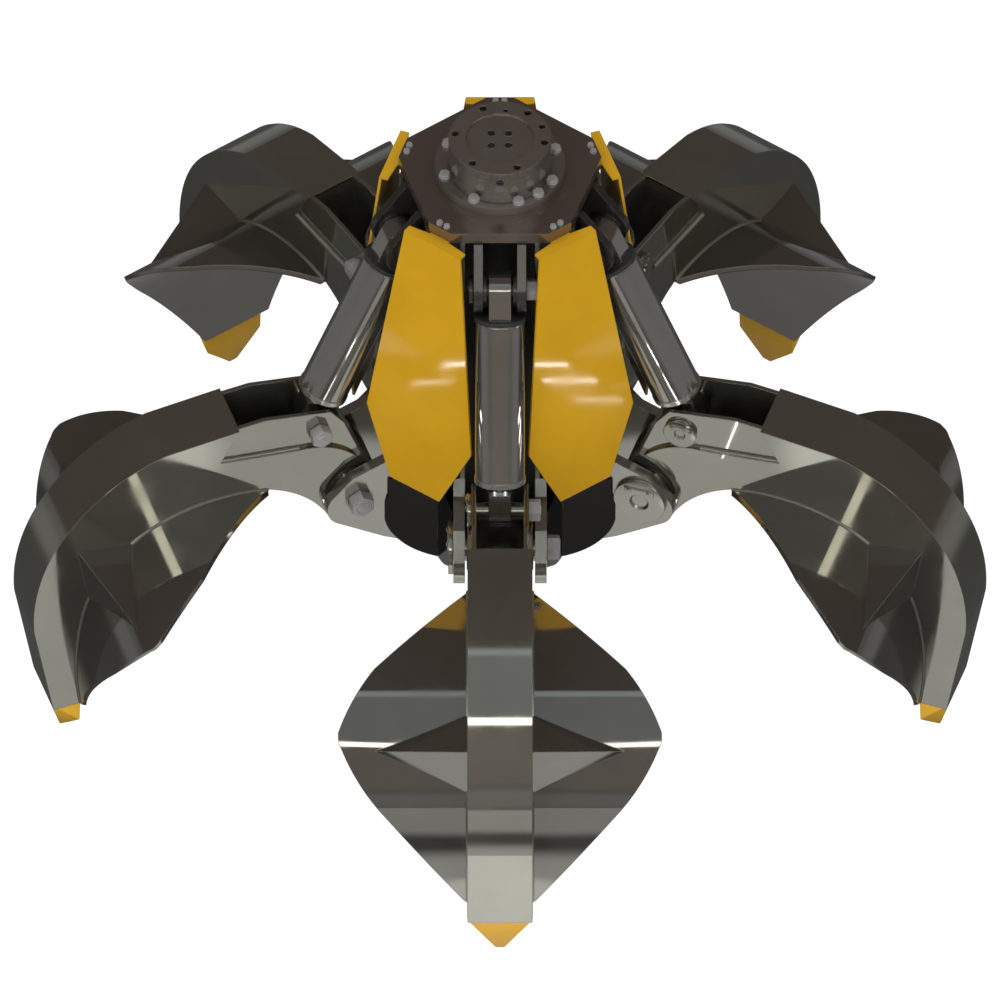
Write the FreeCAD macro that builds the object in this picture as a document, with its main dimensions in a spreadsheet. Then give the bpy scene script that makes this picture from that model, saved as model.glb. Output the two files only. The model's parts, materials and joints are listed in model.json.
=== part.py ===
"""Five-tine orange peel grapple, drawn fully open, in millimetres.

The origin is the centre of the rotator's top flange face, +Z up. Each tine
is drawn in a radial plane (X outwards, Y sideways, Z up) and turned about Z
to its own azimuth; tine 1 points along -Y.
"""
import FreeCAD, Part
import math
import os

V = FreeCAD.Vector
UP = V(0, 0, 1)
SIDE = V(0, 1, 0)

TINES = 5
PITCH = 360.0 / TINES
FIRST_AZIMUTH = -90.0

SIZES = {
    # rotator
    "stator_radius": 124.0,
    "stator_tall": 66.5,
    "flange_thick": 30.0,
    "stator_recess_radius": 82.0,
    "stator_recess_deep": 5.0,
    "mount_pcd": 216.0,
    "mount_hole_radius": 8.75,
    "mount_first_angle": 52.0,
    "locating_hole_angle": 21.0,
    "locating_hole_radius": 7.5,
    "dowel_circle_radius": 94.0,
    "dowel_hole_radius": 5.0,
    "dowel_angle": 82.0,
    "port_radius": 10.0,
    "port_ring_radius": 29.0,
    "side_port_radius": 22.0,
    "side_port_deep": 6.0,
    "slew_gap": 0.5,
    "spigot_radius": 60.0,
    "spigot_tall": 26.0,
    "running_gap": 0.08,
    "housing_radius": 121.0,
    "housing_flange_radius": 157.0,
    "housing_flange_thick": 24.0,
    "housing_tall": 41.0,
    "rotator_bolt_circle": 140.0,
    "rotator_bolt_first": 18.5,
    "rotator_bolt_extra": 311.0,
    "rotator_bolt_radius": 9.0,
    "rotator_bolt_flats": 26.0,
    "rotator_bolt_head": 10.0,
    "bolt_gap": 0.3,
    # top plate and covers
    "plate_apothem": 218.0,
    "plate_corner": 245.0,
    "plate_thick": 31.0,
    "cover_bolt_circle": 232.0,
    "cover_bolt_apart": 20.9,
    "cover_bolt_radius": 5.0,
    "cover_bolt_flats": 17.0,
    "cover_bolt_head": 7.0,
    "cover_thick": 6.0,
    "cover_flange_in": 212.0,
    "cover_top_out": 278.0,
    "cover_bottom_out": 349.0,
    "cover_bottom_down": 910.0,
    "cover_wide_down": 722.0,
    "cover_top_width": 166.0,
    "cover_wide_width": 309.0,
    "cover_low_width": 146.0,
    # frame
    "core_radius": 88.0,
    "core_wall": 14.0,
    "side_plate_start": 84.0,
    "side_plate_thick": 12.0,
    "ear_thick": 28.0,
    "side_plate_inner": 158.0,
    "housing_bottom": 1226.0,
    "housing_top": 1010.0,
    "housing_bowl_radius": 340.0,
    "housing_valley": 254.0,
    "housing_wall": 12.0,
    # pivots
    "pivot_out": 391.0,
    "pivot_down": 998.0,
    "pivot_radius": 33.0,
    "pivot_head_radius": 65.0,
    "pivot_head_thick": 12.0,
    "pivot_nut_flats": 54.0,
    "pivot_nut_tall": 31.0,
    "top_pin_out": 252.0,
    "top_pin_down": 262.0,
    "top_pin_radius": 22.0,
    "top_pin_head_radius": 34.0,
    "top_pin_nut_flats": 46.0,
    "top_pin_nut_tall": 26.0,
    "rod_pin_out": 478.0,
    "rod_pin_down": 785.0,
    "rod_pin_radius": 22.5,
    "rod_pin_head_radius": 41.0,
    "rod_pin_head_thick": 11.0,
    "rod_pin_nut_flats": 48.0,
    "rod_pin_nut_tall": 29.0,
    "pin_gap": 0.08,
    "washer_gap": 0.3,
    # upper clevis
    "clevis_inner": 41.0,
    "clevis_thick": 22.0,
    "clevis_end_radius": 55.0,
    "clevis_boss_radius": 40.0,
    "clevis_boss_thick": 9.0,
    # cylinder, measured along its axis from the top pin
    "eye_half": 26.4,
    "barrel_eye_radius": 45.0,
    "barrel_radius": 60.0,
    "bore_radius": 50.0,
    "barrel_start": 67.0,
    "barrel_cap": 28.0,
    "rod_showing": 86.7,
    "band_radius": 62.0,
    "band_tall": 9.0,
    "gland_flange": 12.0,
    "gland_long": 34.0,
    "rod_radius": 30.0,
    "rod_start": 120.0,
    "rod_eye_radius": 40.0,
    "piston_start": 122.0,
    "piston_long": 42.0,
    "spigot_end_radius": 18.0,
    # arm
    "arm_half": 78.0,
    "arm_upper_half": 68.0,
    "arm_plate": 11.0,
    "hub_radius": 52.0,
    "arm_pivot_end": 67.0,
    "arm_ear_clear": 82.0,
    # blade and tip
    "blade_thick": 10.0,
    "blade_half_width": 389.0,
    "gusset_reach": 308.0,
    "gusset_height": 115.0,
    "tip_half_width": 79.0,
    "tip_point_half": 30.0,
}

doc = FreeCAD.newDocument("orange_peel_grapple")
sheet = doc.addObject("Spreadsheet::Sheet", "sizes")
for row, (alias, value) in enumerate(SIZES.items(), 1):
    sheet.set(f"A{row}", alias)
    sheet.set(f"B{row}", str(value))
    sheet.setAlias(f"B{row}", alias)
doc.recompute()

parts = []


def size(alias):
    """The value of one driving dimension."""
    return float(getattr(sheet, alias))


def azimuth(number):
    """The azimuth in degrees of tine 1 to 5."""
    return FIRST_AZIMUTH + PITCH * (number - 1)


def turned(angle, base=V(0, 0, 0)):
    """A placement turned about Z by an angle in degrees."""
    return FreeCAD.Placement(base, FreeCAD.Rotation(UP, angle))


def keep(item, label):
    """Name a finished sub-part, so that it is written to its own file."""
    item.Label = label
    parts.append(item)
    return item


def lines(points):
    """The edges of a closed polygon in a sketch plane."""
    corners = [V(x, y, 0) for x, y in points]
    return [Part.LineSegment(a, b) for a, b in zip(corners, corners[1:] + corners[:1])]


def path(points):
    """Edges of a closed outline; a point given with a middle point ends an arc through it."""
    ends = [V(p[0], p[1], 0) for p in points]
    edges = []
    for here, (point, there) in zip(ends[-1:] + ends[:-1], zip(points, ends)):
        if len(point) == 4:
            edges.append(Part.Arc(here, V(point[2], point[3], 0), there))
        else:
            edges.append(Part.LineSegment(here, there))
    return edges


def new_body(label, angle=0.0):
    """A body turned about Z."""
    body = doc.addObject("PartDesign::Body", label)
    body.Placement = turned(angle)
    return body


def sketch_on(body, role, edges, offset=None):
    """A sketch on one of the body's own origin planes."""
    sketch = body.newObject("Sketcher::SketchObject", "profile")
    plane = next(f for f in body.Origin.OriginFeatures if f.Role == role)
    sketch.AttachmentSupport = [(plane, "")]
    sketch.MapMode = "FlatFace"
    if offset is not None:
        sketch.AttachmentOffset = offset
    for edge in edges:
        sketch.addGeometry(edge, False)
    return sketch


def pad_between(body, edges, start, thick, mirrored=False):
    """A plate with its outline in the radial plane, from start to start + thick sideways."""
    shift = start if mirrored else -start
    sketch = sketch_on(body, "XZ_Plane", edges, FreeCAD.Placement(V(0, 0, shift), FreeCAD.Rotation()))
    pad = body.newObject("PartDesign::Pad", "plate")
    pad.Profile = sketch
    pad.Reversed = not mirrored
    bind(pad, "Length", thick)
    return pad


def symmetric(body, kind, edges, width):
    """A pad or pocket with its outline in the radial plane, as wide on both sides."""
    sketch = sketch_on(body, "XZ_Plane", edges)
    feature = body.newObject(kind, "across")
    feature.Profile = sketch
    feature.SideType = "Symmetric"
    bind(feature, "Length", width)
    return feature


def bind(item, prop, value):
    """Set a size by a number, or bind it to an expression of the sheet's cells."""
    if isinstance(value, str):
        item.setExpression(prop, value)
    else:
        setattr(item, prop, value)


def cylinder(radius, tall, base, axis=UP):
    """A cylinder from a base point along an axis."""
    item = doc.addObject("Part::Cylinder", "round")
    bind(item, "Radius", radius)
    bind(item, "Height", tall)
    item.Placement = FreeCAD.Placement(base, FreeCAD.Rotation(UP, axis))
    return item


def prism(flats, tall, base, axis=UP, sides=6):
    """A regular prism, such as a bolt head or a nut, given across its flats."""
    item = doc.addObject("Part::Prism", "hexagon")
    item.Polygon = sides
    bind(item, "Circumradius", f"{flats} / 2 / cos(180 / {sides})")
    bind(item, "Height", tall)
    item.Placement = FreeCAD.Placement(base, FreeCAD.Rotation(UP, axis))
    return item


def fuse(items):
    """One solid of several that meet."""
    item = doc.addObject("Part::MultiFuse", "joined")
    item.Shapes = items
    item.Refine = True
    return item


def group(items):
    """Separate solids that share a node."""
    item = doc.addObject("Part::Compound", "group")
    item.Links = items
    return item


def cut(base, tools):
    """The base less its tools."""
    item = doc.addObject("Part::Cut", "cut")
    item.Base = base
    item.Tool = tools[0] if len(tools) == 1 else group(tools)
    return item


def in_tine(number, out, aside, height):
    """A point of a tine's frame in the part's frame."""
    angle = math.radians(azimuth(number))
    return V(
        out * math.cos(angle) - aside * math.sin(angle),
        out * math.sin(angle) + aside * math.cos(angle),
        height,
    )


def sideways(number):
    """The direction of a tine's pins."""
    return in_tine(number, 0, 1, 0)


def on_circle(radius, angle, height):
    """A point on a circle about Z."""
    turn = math.radians(angle)
    return V(radius * math.cos(turn), radius * math.sin(turn), height)


PLATE_TOP = -size("stator_tall") - size("slew_gap") - size("housing_tall")
PLATE_BOTTOM = PLATE_TOP - size("plate_thick")
PIVOT = (size("pivot_out"), -size("pivot_down"))
TOP_PIN = (size("top_pin_out"), -size("top_pin_down"))
ROD_PIN = (size("rod_pin_out"), -size("rod_pin_down"))


def side_port():
    """The round recess in the front of the rotator's drum."""
    return cylinder(
        "sizes.side_port_radius",
        "sizes.side_port_deep * 2",
        V(0, -size("stator_radius") + size("side_port_deep"), -size("stator_tall") / 2),
        V(0, -1, 0),
    )


def rotator_flange():
    """The fixed top flange of the rotator, with its bolt circle and hose ports."""
    low = -size("flange_thick")
    disc = cylinder("sizes.stator_radius", "sizes.flange_thick", V(0, 0, low))
    recess = cylinder(
        "sizes.stator_recess_radius", "sizes.stator_recess_deep", V(0, 0, -size("stator_recess_deep"))
    )
    circle = size("mount_pcd") / 2
    holes = [
        ("mount_hole_radius", circle, size("mount_first_angle") + 60 * number) for number in range(6)
    ]
    holes += [("port_radius", size("port_ring_radius"), angle) for angle in (45, 135, 225, 315)]
    holes.append(("locating_hole_radius", circle, size("locating_hole_angle")))
    holes.append(("dowel_hole_radius", size("dowel_circle_radius"), size("dowel_angle")))
    drills = [
        cylinder(f"sizes.{radius}", "sizes.flange_thick", on_circle(out, angle, low))
        for radius, out, angle in holes
    ]
    keep(cut(disc, [recess, side_port()] + drills), "rotator_flange")


def rotator_drum():
    """The fixed drum under the flange, with the spigot that the housing turns on."""
    low = -size("stator_tall")
    drum = cylinder("sizes.stator_radius", "sizes.stator_tall - sizes.flange_thick", V(0, 0, low))
    spigot = cylinder(
        "sizes.spigot_radius", "sizes.spigot_tall", V(0, 0, low - size("spigot_tall"))
    )
    keep(cut(fuse([drum, spigot]), [side_port()]), "rotator_drum")


def bolt_angles():
    """Where the rotator's bolts stand."""
    return [size("rotator_bolt_first") + 45 * n for n in range(8)] + [size("rotator_bolt_extra")]


def rotator_housing():
    """The turning half of the rotator, bolted down on the top plate."""
    flange = cylinder(
        "sizes.housing_flange_radius", "sizes.housing_flange_thick", V(0, 0, PLATE_TOP)
    )
    ring = cylinder("sizes.housing_radius", "sizes.housing_tall", V(0, 0, PLATE_TOP))
    bore = cylinder(
        "sizes.spigot_radius + sizes.running_gap", "sizes.housing_tall", V(0, 0, PLATE_TOP)
    )
    holes = [
        cylinder(
            "sizes.rotator_bolt_radius + sizes.bolt_gap",
            "sizes.housing_flange_thick",
            on_circle(size("rotator_bolt_circle"), a, PLATE_TOP),
        )
        for a in bolt_angles()
    ]
    keep(cut(fuse([flange, ring]), [bore] + holes), "rotator_housing")


def hex_bolt(point, radius, flats, head, shank, axis=UP):
    """A hex bolt whose head sits on a point, with its shank going back along the axis."""
    top = prism(flats, head, point, axis)
    stem = cylinder(radius, shank, point - axis * shank, axis)
    return fuse([top, stem])


def rotator_bolts():
    """The bolts that hold the rotator on the top plate."""
    seat = PLATE_TOP + size("housing_flange_thick")
    shank = size("housing_flange_thick") + size("plate_thick")
    bolts = [
        hex_bolt(
            on_circle(size("rotator_bolt_circle"), a, seat),
            "sizes.rotator_bolt_radius",
            "sizes.rotator_bolt_flats",
            "sizes.rotator_bolt_head",
            shank,
        )
        for a in bolt_angles()
    ]
    keep(group(bolts), "rotator_bolts")


def cover_bolt_places(height):
    """Two bolt places at each corner of the top plate."""
    places = []
    for number in range(TINES):
        angle = azimuth(number + 1) + PITCH / 2
        middle = on_circle(size("cover_bolt_circle"), angle, height)
        across = on_circle(size("cover_bolt_apart") / 2, angle + 90, 0)
        places += [middle + across, middle - across]
    return places


def top_plate():
    """The five-sided head plate, flat towards each tine, with cropped corners."""
    corner = size("plate_corner")
    half = math.radians(PITCH / 2)
    apothem = size("plate_apothem")
    outline = []
    for number in range(TINES):
        middle = math.radians(azimuth(number + 1) + PITCH / 2)
        reach = (apothem - corner * math.cos(half)) / math.sin(half)
        for side in (-1, 1):
            outline.append(
                (
                    corner * math.cos(middle) - side * reach * math.sin(middle),
                    corner * math.sin(middle) + side * reach * math.cos(middle),
                )
            )
    body = new_body("top_plate")
    lift = FreeCAD.Placement(V(0, 0, PLATE_BOTTOM), FreeCAD.Rotation())
    sketch = sketch_on(body, "XY_Plane", lines(outline), lift)
    pad = body.newObject("PartDesign::Pad", "plate")
    pad.Profile = sketch
    bind(pad, "Length", "sizes.plate_thick")
    holes = [
        cylinder(
            "sizes.rotator_bolt_radius + sizes.bolt_gap",
            "sizes.plate_thick",
            on_circle(size("rotator_bolt_circle"), a, PLATE_BOTTOM),
        )
        for a in bolt_angles()
    ]
    holes += [
        cylinder("sizes.cover_bolt_radius + sizes.bolt_gap", "sizes.plate_thick", p)
        for p in cover_bolt_places(PLATE_BOTTOM)
    ]
    keep(cut(body, holes), "head_plate")


def cover_bolts():
    """The small bolts that hold the covers under the plate's corners."""
    shank = size("plate_thick") + size("cover_thick")
    bolts = [
        hex_bolt(
            p, "sizes.cover_bolt_radius", "sizes.cover_bolt_flats", "sizes.cover_bolt_head", shank
        )
        for p in cover_bolt_places(PLATE_TOP)
    ]
    keep(group(bolts), "cover_bolts")


def cover(number):
    """A folded guard sheet on one corner, its flange under the head plate."""
    angle = azimuth(number) + PITCH / 2
    thick = size("cover_thick")
    top = PLATE_BOTTOM
    out, low_out = size("cover_top_out"), size("cover_bottom_out")
    low = -size("cover_bottom_down")
    body = new_body("guard", angle)
    profile = [
        (size("cover_flange_in"), top),
        (out, top),
        (low_out, low),
        (low_out - thick, low),
        (out - thick, top - thick),
        (size("cover_flange_in"), top - thick),
    ]
    symmetric(body, "PartDesign::Pad", lines(profile), "sizes.cover_wide_width")
    wide, upper = size("cover_wide_width") / 2, size("cover_top_width") / 2
    lower, margin = size("cover_low_width") / 2, size("cover_wide_width")
    wide_low = -size("cover_wide_down")
    for side in (-1, 1):
        edge = [
            (side * upper, top + margin),
            (side * upper, top - thick),
            (side * wide, wide_low),
            (side * lower, low),
            (side * lower, low - margin),
            (side * 2 * margin, low - margin),
            (side * 2 * margin, top + margin),
        ]
        sketch = sketch_on(body, "YZ_Plane", lines(edge))
        trim = body.newObject("PartDesign::Pocket", "trim")
        trim.Profile = sketch
        trim.SideType = "Symmetric"
        trim.Type = "ThroughAll"
    neck = size("cover_bolt_apart") / 2 + size("cover_bolt_flats")
    for side in (-1, 1):
        edge = [(0, side * neck), (out - 30, side * neck), (out - 12, side * wide), (0, side * wide)]
        lift = FreeCAD.Placement(V(0, 0, top), FreeCAD.Rotation())
        notch = body.newObject("PartDesign::Pocket", "notch")
        notch.Profile = sketch_on(body, "XY_Plane", lines(edge), lift)
        bind(notch, "Length", "sizes.cover_thick")
    place = size("cover_bolt_circle")
    holes = [
        cylinder(
            "sizes.cover_bolt_radius + sizes.bolt_gap",
            "sizes.cover_thick",
            p,
        )
        for p in cover_bolt_places(top - thick)
        if abs((p - on_circle(place, angle, top - thick)).Length) < place / 2
    ]
    keep(cut(body, holes), f"cover_{number}")


def clevis_plate(number, mirrored):
    """One cheek of the clevis that carries a cylinder's top pin."""
    out, height = TOP_PIN
    end = size("clevis_end_radius")
    slope = math.radians(50)
    outline = [
        (out - end - 95, PLATE_BOTTOM),
        (size("plate_apothem") + 6, PLATE_BOTTOM),
        (out + end * math.sin(slope), height + end * math.cos(slope)),
        (out - end * math.sin(slope), height - end * math.cos(slope), out + end * 0.6, height - end * 0.8),
        (out - end - 95, height - end * 0.2),
    ]
    body = new_body("clevis", azimuth(number))
    start = size("clevis_inner")
    pad_between(body, path(outline), start, "sizes.clevis_thick", mirrored)
    hand = -1 if mirrored else 1
    axis = sideways(number) * hand
    base = in_tine(number, out, hand * (start - size("clevis_boss_thick")), height)
    boss = cylinder(
        "sizes.clevis_boss_radius", "sizes.clevis_thick + sizes.clevis_boss_thick", base, axis
    )
    bore = cylinder("sizes.top_pin_radius + sizes.pin_gap", 2 * size("clevis_inner"), base, axis)
    return cut(fuse([body, boss]), [bore])


def side_plate(number, mirrored):
    """One of the two frame plates of a tine: thin above, thick at the pivot ear."""
    out, height = PIVOT
    inner = size("side_plate_inner")
    low = -size("housing_bottom")
    thin = [
        (inner, PLATE_BOTTOM),
        (size("plate_apothem"), PLATE_BOTTOM),
        (218, -340),
        (262, -560),
        (262, -720),
        (298, -880),
        (inner, -900),
    ]
    ear = [
        (inner, -862),
        (294, -862),
        (324, -893),
        (408, -926),
        (461, -982),
        (446, -1064, 470, -1030),
        (331, -1142),
        (298, -1160),
        (240, -1180),
        (inner, low + 30),
    ]
    body = new_body("frame_side", azimuth(number))
    pad_between(body, lines(thin), size("side_plate_start"), "sizes.side_plate_thick", mirrored)
    pad_between(body, path(ear), size("side_plate_start"), "sizes.ear_thick", mirrored)
    hand = -1 if mirrored else 1
    base = in_tine(number, out, hand * (size("side_plate_start") - 5), height)
    bore = cylinder(
        "sizes.pivot_radius + sizes.pin_gap", "sizes.ear_thick + 10", base, sideways(number) * hand
    )
    return cut(body, [bore])


def frame_plates():
    """The clevis cheeks under the head plate and the side plates with the pivot ears."""
    cheeks = [clevis_plate(n, m) for n in range(1, TINES + 1) for m in (False, True)]
    keep(group(cheeks), "clevis_plates")
    sides = [side_plate(n, m) for n in range(1, TINES + 1) for m in (False, True)]
    keep(group(sides), "side_plates")


def core_column():
    """The tube in the middle that joins the head plate to the lower housing."""
    low = -size("housing_bottom") + size("housing_wall")
    tall = PLATE_BOTTOM - low
    tube = cylinder("sizes.core_radius", tall, V(0, 0, low))
    bore = cylinder("sizes.core_radius - sizes.core_wall", tall, V(0, 0, low))
    keep(cut(tube, [bore]), "core_column")


def bowl(inset, low, high):
    """A five-lobed bowl: a round bowl trimmed to folded walls between the ears."""
    reach = size("housing_bowl_radius") - inset
    low_out = size("housing_bowl_radius") * 0.67 - inset
    body = new_body("bowl")
    profile = path(
        [
            (0, low),
            (low_out, low),
            (reach, low + 226, low_out + (reach - low_out) * 0.74, low + 226 * 0.26),
            (reach, high),
            (0, high),
        ]
    )
    sketch = sketch_on(body, "XZ_Plane", profile)
    turn = body.newObject("PartDesign::Revolution", "bowl")
    turn.Profile = sketch
    turn.ReferenceAxis = (sketch, ["V_Axis"])
    turn.Angle = 360
    ear_aside = size("side_plate_start") + size("ear_thick")
    ear_angle = math.degrees(math.asin(ear_aside / size("housing_bowl_radius")))
    outline = []
    for number in range(1, TINES + 1):
        wide = reach * 1.02
        for turn_by, radius in (
            (-ear_angle, wide),
            (ear_angle, wide),
            (PITCH / 2, size("housing_valley") - inset / math.cos(math.radians(PITCH / 2))),
        ):
            angle = math.radians(azimuth(number) + turn_by)
            outline.append((radius * math.cos(angle), radius * math.sin(angle)))
    star = new_body("star")
    lift = FreeCAD.Placement(V(0, 0, low - 10), FreeCAD.Rotation())
    pad = star.newObject("PartDesign::Pad", "star")
    pad.Profile = sketch_on(star, "XY_Plane", lines(outline), lift)
    pad.Length = high - low + 20
    item = doc.addObject("Part::Common", "lobes")
    item.Base = body
    item.Tool = star
    item.Refine = True
    return item


def lower_housing():
    """The closed pan between the ears, slotted for each tine."""
    low = -size("housing_bottom")
    high = -size("housing_top") + 60
    wall = size("housing_wall")
    shell = bowl(0, low, high)
    hollow = bowl(wall, low + wall, high + 30)
    slots = []
    half = size("side_plate_start") + size("ear_thick") + size("washer_gap")
    for number in range(1, TINES + 1):
        slot = doc.addObject("Part::Box", "slot")
        slot.Length = 300
        slot.Width = 2 * half
        slot.Height = high - low + 200
        corner = in_tine(number, size("side_plate_inner") - size("washer_gap"), -half, low - 50)
        slot.Placement = turned(azimuth(number), corner)
        slots.append(slot)
    keep(cut(shell, [hollow] + slots), "lower_housing")


def headed_pins():
    """Main pivot pins and top pins, each with a disc head, and their nuts."""
    pivots, pivot_nuts, tops, top_nuts = [], [], [], []
    ear_face = size("side_plate_start") + size("ear_thick")
    clevis_face = size("clevis_inner") + size("clevis_thick")
    gap = size("washer_gap")
    for number in range(1, TINES + 1):
        axis = sideways(number)
        out, height = PIVOT
        tail = ear_face + gap + size("pivot_nut_tall")
        stem = cylinder("sizes.pivot_radius", ear_face * 2 + gap * 2, in_tine(number, out, -ear_face - gap, height), axis)
        thread = cylinder("sizes.pivot_radius * 0.6", tail - ear_face, in_tine(number, out, ear_face, height), axis)
        base = in_tine(number, out, -ear_face - gap - size("pivot_head_thick"), height)
        head = cylinder("sizes.pivot_head_radius", "sizes.pivot_head_thick", base, axis)
        dimple = cylinder("sizes.pivot_head_radius * 0.2", 5, base, axis)
        pivots.append(cut(fuse([stem, thread, head]), [dimple]))
        base = in_tine(number, out, ear_face + gap, height)
        nut = prism("sizes.pivot_nut_flats", "sizes.pivot_nut_tall", base, axis)
        pivot_nuts.append(cut(nut, [cylinder("sizes.pivot_radius * 0.6 + sizes.pin_gap", 60, base, axis)]))
        out, height = TOP_PIN
        tail = clevis_face + gap + size("top_pin_nut_tall")
        stem = cylinder("sizes.top_pin_radius", clevis_face * 2 + gap * 2, in_tine(number, out, -clevis_face - gap, height), axis)
        thread = cylinder("sizes.top_pin_radius * 0.6", tail - clevis_face, in_tine(number, out, clevis_face, height), axis)
        base = in_tine(number, out, -clevis_face - gap - size("rod_pin_head_thick"), height)
        head = cylinder("sizes.top_pin_head_radius", "sizes.rod_pin_head_thick", base, axis)
        tops.append(fuse([stem, thread, head]))
        base = in_tine(number, out, clevis_face + gap, height)
        nut = prism("sizes.top_pin_nut_flats", "sizes.top_pin_nut_tall", base, axis)
        top_nuts.append(cut(nut, [cylinder("sizes.top_pin_radius * 0.6 + sizes.pin_gap", 60, base, axis)]))
    keep(group(pivots), "pivot_pins")
    keep(group(pivot_nuts), "pivot_nuts")
    keep(group(tops), "top_pins")
    keep(group(top_nuts), "top_nuts")


def tangent_arcs(start, heading, ends):
    """Arcs that run on smoothly: each as (centre, radius, start angle, end angle), degrees."""
    arcs = []
    x, y = start
    for end_x, end_y in ends:
        chord = math.atan2(end_y - y, end_x - x)
        turn = 2 * (chord - heading)
        span = math.hypot(end_x - x, end_y - y)
        radius = span / 2 / math.sin(abs(turn) / 2)
        side = -1 if turn < 0 else 1
        centre = (x - side * radius * math.sin(heading), y + side * radius * math.cos(heading))
        first = math.atan2(y - centre[1], x - centre[0])
        arcs.append((centre, radius, first, first + turn))
        x, y = end_x, end_y
        heading += turn
    return arcs


BLADE_START = (610.0, -931.0)
BLADE_HEADING = math.radians(12.5)
BLADE_ENDS = [(883.0, -962.0), (1075.0, -1200.0), (1084.0, -1507.0)]
BLADE_ARCS = tangent_arcs(BLADE_START, BLADE_HEADING, BLADE_ENDS)


def arc_points(arcs, inset):
    """Outline points along the arcs, set in towards their centres."""
    points = []
    for (x, y), radius, first, last in arcs:
        reach = radius - inset
        middle = (first + last) / 2
        points.append(
            (
                x + reach * math.cos(last),
                y + reach * math.sin(last),
                x + reach * math.cos(middle),
                y + reach * math.sin(middle),
            )
        )
    return points


def arc_start(arcs, inset):
    """Where the first arc begins, set in towards its centre."""
    (x, y), radius, first, _ = arcs[0]
    reach = radius - inset
    return (x + reach * math.cos(first), y + reach * math.sin(first))


def arc_points_back(arcs, inset):
    """The same arcs walked the other way."""
    points = []
    for (x, y), radius, first, last in reversed(arcs):
        reach = radius - inset
        middle = (first + last) / 2
        points.append(
            (
                x + reach * math.cos(first),
                y + reach * math.sin(first),
                x + reach * math.cos(middle),
                y + reach * math.sin(middle),
            )
        )
    return points


ARM_BACK = [
    (869, -739),
    (1030, -830, 955, -776),
    (1147, -974, 1096, -898),
    (1201, -1235, 1192, -1100),
    (1152, -1512),
]


def trim_outside(body, outline):
    """Cut away all of a tine part outside an outline seen from 45 degrees above its front."""
    reach = 2500
    frame = [(-400, -reach), (reach * 1.2, -reach), (reach * 1.2, reach), (-400, reach)]
    tilt = FreeCAD.Placement(V(0, 0, 0), FreeCAD.Rotation(SIDE, 45))
    sketch = sketch_on(body, "XY_Plane", lines(frame) + outline, tilt)
    trim = body.newObject("PartDesign::Pocket", "trim")
    trim.Profile = sketch
    trim.SideType = "Symmetric"
    trim.Type = "Length"
    trim.Length = 6000


def arm(number):
    """The welded box arm of a tine: recessed cheeks, a hub on the pivot and a hollow box."""
    wide = "2 * sizes.arm_half"
    clear = size("arm_ear_clear")
    x, y = PIVOT
    end = size("arm_pivot_end")
    body = new_body("arm", azimuth(number))
    upper = [
        (449, -727),
        (612, -706),
        (690, -714),
        (740, -830),
        (690, -900),
        BLADE_START,
        (456, -1030, 530, -967),
        (x - end * 0.8, y - end * 0.6, x + end * 0.45, y - end * 0.893),
        (x - end * 0.94, y + end * 0.34, x - end * 0.99, y - end * 0.12),
        (374, -888),
        (415, -773),
    ]
    symmetric(body, "PartDesign::Pad", path(upper), "2 * sizes.arm_upper_half")
    lower = [
        (530, -823, 450, -838),
        (682, -811),
        (730, -806),
        (682, -713),
    ] + ARM_BACK + [BLADE_ENDS[-1]] + arc_points_back(BLADE_ARCS, 0) + [
        (458, -1067, 530, -975),
        (x + clear, y - 12),
        (386, -888, x + clear * 0.72, y + clear * 0.72),
    ]
    symmetric(body, "PartDesign::Pad", path(lower), wide)
    slot = [
        (380, -640),
        (681, -640),
        (681, -725),
        (650, -820),
        (600, -905),
        (540, -940),
        (470, -940),
        (330, -905),
    ]
    symmetric(body, "PartDesign::Pocket", lines(slot), "2 * sizes.arm_upper_half - 2 * sizes.arm_plate")
    box = [
        (694, -735),
        (866, -751),
        (1022, -840, 949, -787),
        (1136, -980, 1086, -905),
        (1189, -1235, 1180, -1103),
        (1143, -1500),
        (1098, -1495),
        (1112, -1350),
        (1088, -1197),
        (1020, -1055),
        (885, -948),
        (740, -905),
        (640, -915),
        (664, -820),
    ]
    symmetric(body, "PartDesign::Pocket", path(box), "2 * sizes.arm_half - 2 * sizes.arm_plate")
    hub = cylinder("sizes.hub_radius", wide, in_tine(number, x, -size("arm_half"), y), sideways(number))
    bore = cylinder(
        "sizes.pivot_radius + sizes.pin_gap", wide, in_tine(number, x, -size("arm_half"), y), sideways(number)
    )
    x, y = ROD_PIN
    pin_bore = cylinder(
        "sizes.rod_pin_radius + sizes.pin_gap",
        wide,
        in_tine(number, x, -size("arm_half"), y),
        sideways(number),
    )
    face, room = size("arm_upper_half"), size("arm_half")
    seats = [
        cylinder("sizes.rod_pin_head_radius + sizes.washer_gap", room, in_tine(number, x, base, y), sideways(number))
        for base in (face, -face - room)
    ]
    keep(cut(fuse([body, hub]), [bore, pin_bore] + seats), f"tine_arm_{number}")


FRONT_SLOPE = math.sqrt(0.5)


def seen(q_pixels):
    """The distance down the 45 degree view of a point whose out minus height is given."""
    return q_pixels * FRONT_SLOPE


BLADE_WIDTHS = [
    (1543, 79),
    (1802, 302, 1672, 196),
    (2012, 387, 1905, 352),
    (2072, 382, 2042, 390),
    (2310, 274, 2196, 337),
    (2600, 79, 2452, 181),
]


def both_sides(stations):
    """A closed outline from its right half, walked down the right and back up the left."""
    right = [(seen(s[0]), s[1]) + ((seen(s[2]), s[3]) if len(s) == 4 else ()) for s in stations]
    left = [(right[-1][0], -right[-1][1])]
    for here, above in zip(reversed(right), reversed(right[:-1])):
        bend = (here[2], -here[3]) if len(here) == 4 else ()
        left.append((above[0], -above[1]) + bend)
    return right + left


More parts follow.
